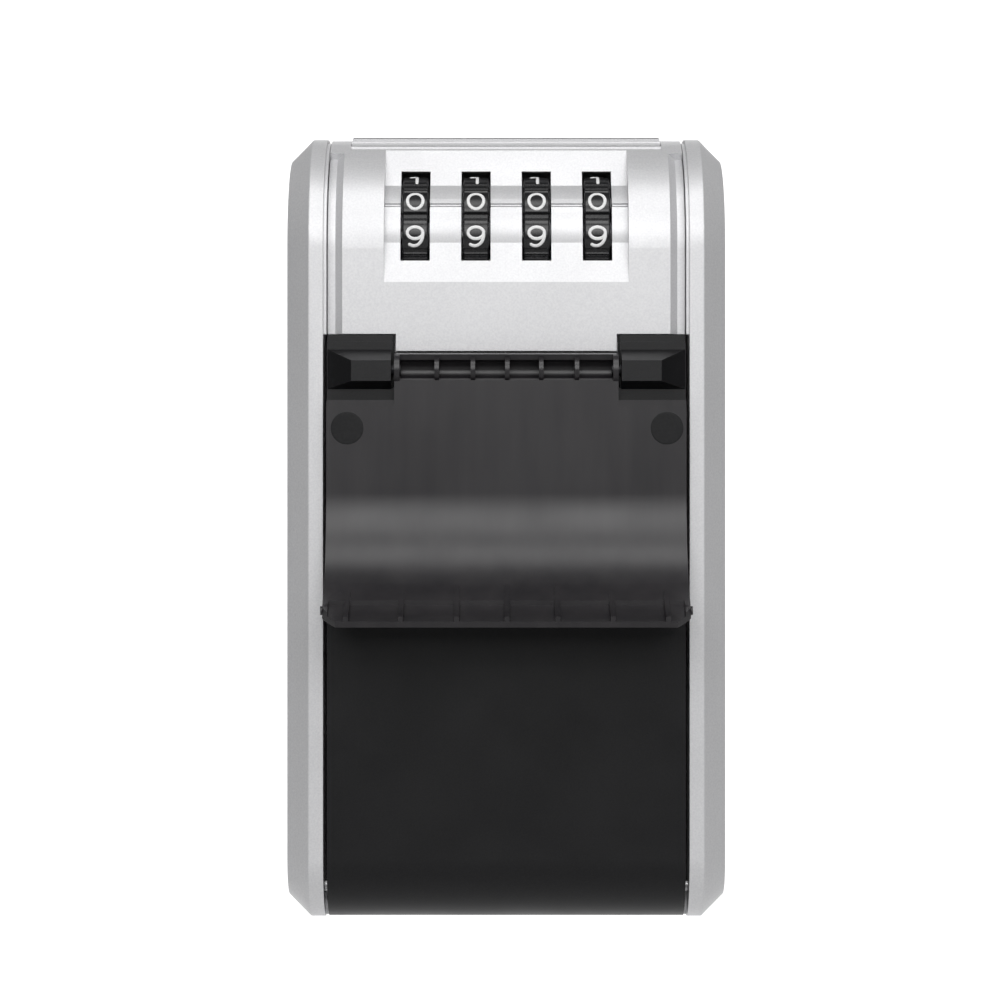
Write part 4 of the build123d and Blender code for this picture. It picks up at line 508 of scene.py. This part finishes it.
def digit_tube(path, x, middle):
    """Rounded stroke of a digit, bent round the wheel at x about the pad whose turn is middle.

    The centre line is spaced evenly. Round it runs an ellipse, half * cos(a) across and rise * sin(a)
    outwards. Past an open end, at s from it, the ellipse shrinks by sqrt(1 - (s / half)**2), which rounds it.
    """
    path = path * mm
    steps = np.concatenate([[0], np.cumsum(np.hypot(*np.diff(path, axis=0).T))])
    even = np.linspace(0, steps[-1], stroke_steps)
    line = np.stack([np.interp(even, steps, path[:, axis]) for axis in (0, 1)], axis=-1)
    closed = bool(np.hypot(*(path[0] - path[-1])) < 1e-6)
    if closed:
        line = line[:-1]
        run = np.roll(line, -1, axis=0) - np.roll(line, 1, axis=0)
        scale = np.ones(len(line))
    else:
        run = np.gradient(line, axis=0)
        cap = np.radians([90, 70, 50, 30, 12])
        ends = stroke_half * np.sin(cap)[:, None]
        first, last = run[:1] / np.hypot(*run[0]), run[-1:] / np.hypot(*run[-1])
        line = np.concatenate([line[:1] - first * ends, line, line[-1:] + last * ends[::-1]])
        run = np.concatenate([np.repeat(first, len(cap), axis=0), run, np.repeat(last, len(cap), axis=0)])
        scale = np.concatenate([np.cos(cap), np.ones(len(even)), np.cos(cap)[::-1]])
    run = run / np.hypot(run[:, 0], run[:, 1])[:, None]
    side = np.stack([-run[:, 1], run[:, 0]], axis=-1)
    around = np.linspace(0, 2 * np.pi, stroke_sides, endpoint=False)
    flat = line[:, None] + side[:, None] * (scale[:, None] * stroke_half * np.cos(around))[..., None]
    rise = scale[:, None] * stroke_rise * np.sin(around)
    off = flat[..., 1] / wheel_r
    radius = wheel_r - pad_crown * (off / pad_half) ** 2 + rise
    turned = middle + off
    verts = np.stack(
        [x + flat[..., 0], wheel_y - radius * np.cos(turned), wheel_z + radius * np.sin(turned)], axis=-1
    )
    return verts.reshape(-1, 3), grid_faces(*radius.shape, ring=closed)


def joined(tubes):
    """Corners and faces of several tubes as one mesh's, each tube's corners counted on from the last's."""
    starts = np.cumsum([0] + [len(verts) for verts, faces in tubes])
    verts = np.concatenate([verts for verts, faces in tubes])
    faces = np.concatenate([faces + start for (_, faces), start in zip(tubes, starts)])
    return verts, faces.tolist()


for number in range(wheel_count):
    x = wheel_xs[number] * mm
    verts, faces = wheel_surface(x)
    wheel = surface(f"dial_{number + 1}", verts, faces.tolist(), wheel_black)
    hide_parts(f"dial_wheel_{number + 1}")
    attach(wheel, f"wheel_{number + 1}")

    tubes = [
        digit_tube(path, x, zero_turn + digit * pad_turn)
        for digit, strokes in enumerate(digit_strokes)
        for path in strokes
    ]
    digits = surface(f"digits_{number + 1}", *joined(tubes), digit_white)
    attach(digits, f"wheel_{number + 1}")

# Shaft, hubs and pins
# Turned steel shaft, shaft clips and door hinge pins, die-cast zinc code hubs and reset lever, and the
# shutter's blackened pins. All keep the shape of their CAD solids.
turned_steel = finish(
    "turned_steel",
    (0.40, 0.40, 0.41),
    (0.55, 0.55, 0.56),
    1800,
    (0.22, 0.34),
    0.000004,
    metallic=1.0,
    stretch=(1, 0.1, 0.1),
)
cast_zinc = finish(
    "cast_zinc", (0.36, 0.37, 0.39), (0.50, 0.51, 0.53), 900, (0.42, 0.55), 0.000010, metallic=1.0
)
black_steel = finish(
    "black_steel", (0.014, 0.014, 0.016), (0.030, 0.030, 0.034), 1500, (0.36, 0.50), 0.000004, metallic=0.6
)


def dress(material, *nodes):
    """CAD solids given one finish, their shape kept."""
    for node in nodes:
        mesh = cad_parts[node].data
        mesh.materials.clear()
        mesh.materials.append(material)


dress(turned_steel, "wheel_shaft", "shaft_clips", "door_hinge_pins")
dress(cast_zinc, "reset_lever", *(f"code_hub_{number + 1}" for number in range(wheel_count)))
dress(black_steel, "shutter_pins")

# Latch, strike and springs
# Zinc-plated sheet with the rolling grain along it, blued spring steel, and plated screws. The two return
# springs are coils on the door's shelf.
plated_sheet = finish(
    "plated_sheet",
    (0.44, 0.45, 0.47),
    (0.60, 0.61, 0.62),
    1400,
    (0.26, 0.42),
    0.000005,
    metallic=1.0,
    stretch=(0.06, 1, 1),
)
spring_steel = finish(
    "spring_steel", (0.20, 0.20, 0.22), (0.30, 0.30, 0.32), 1200, (0.24, 0.36), 0.000003, metallic=1.0
)
plated_screw = finish(
    "plated_screw", (0.48, 0.48, 0.47), (0.64, 0.63, 0.60), 2200, (0.24, 0.36), 0.000004, metallic=1.0
)
dress(plated_sheet, "latch_plate", "fence_comb", "strike_plate", "mechanism_cover")
dress(spring_steel, "detent_spring")
dress(plated_screw, "strike_screws", "cover_screws", "detent_screws", "mechanism_screws", "bar_screws")
spring_foot, spring_top = 0.0475, 0.0580
spring_x, spring_y = 0.0302, -0.0196
spring_r = 0.0017
spring_turns = 5
wire_r = 0.00026
wire_steps = 241
wire_sides = 12


def coil(x):
    """Closed tube along a helix.

    Its middle line is x + r * cos(t), y + r * sin(t), rising evenly over the turns, and the wire's section is
    a circle across the line. Over the first and last wire radius of the line the circle shrinks as a quarter
    circle, which rounds the ends.
    """
    turns = np.linspace(0, 2 * np.pi * spring_turns, wire_steps)
    rise = spring_top - spring_foot - 2 * wire_r
    run = turns / turns[-1]
    slope = math.atan2(rise, turns[-1] * spring_r)
    length = math.hypot(rise, turns[-1] * spring_r)
    inside = np.clip(np.minimum(run, 1 - run) * length / wire_r, 0, 1)
    section = wire_r * np.sqrt(1 - (1 - inside) ** 2)[:, None]
    around = np.linspace(0, 2 * np.pi, wire_sides, endpoint=False)
    out = section * np.cos(around)
    up = section * np.sin(around)
    along = turns[:, None]
    verts = np.stack(
        [
            x + (spring_r + out) * np.cos(along) + up * math.sin(slope) * np.sin(along),
            spring_y + (spring_r + out) * np.sin(along) - up * math.sin(slope) * np.cos(along),
            spring_foot + wire_r + rise * run[:, None] + up * math.cos(slope),
        ],
        axis=-1,
    )
    return verts.reshape(-1, 3), grid_faces(*out.shape)


springs = surface("return_springs", *joined([coil(-spring_x), coil(spring_x)]), spring_steel)
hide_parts("latch_springs")
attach(springs, "door")
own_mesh(springs)
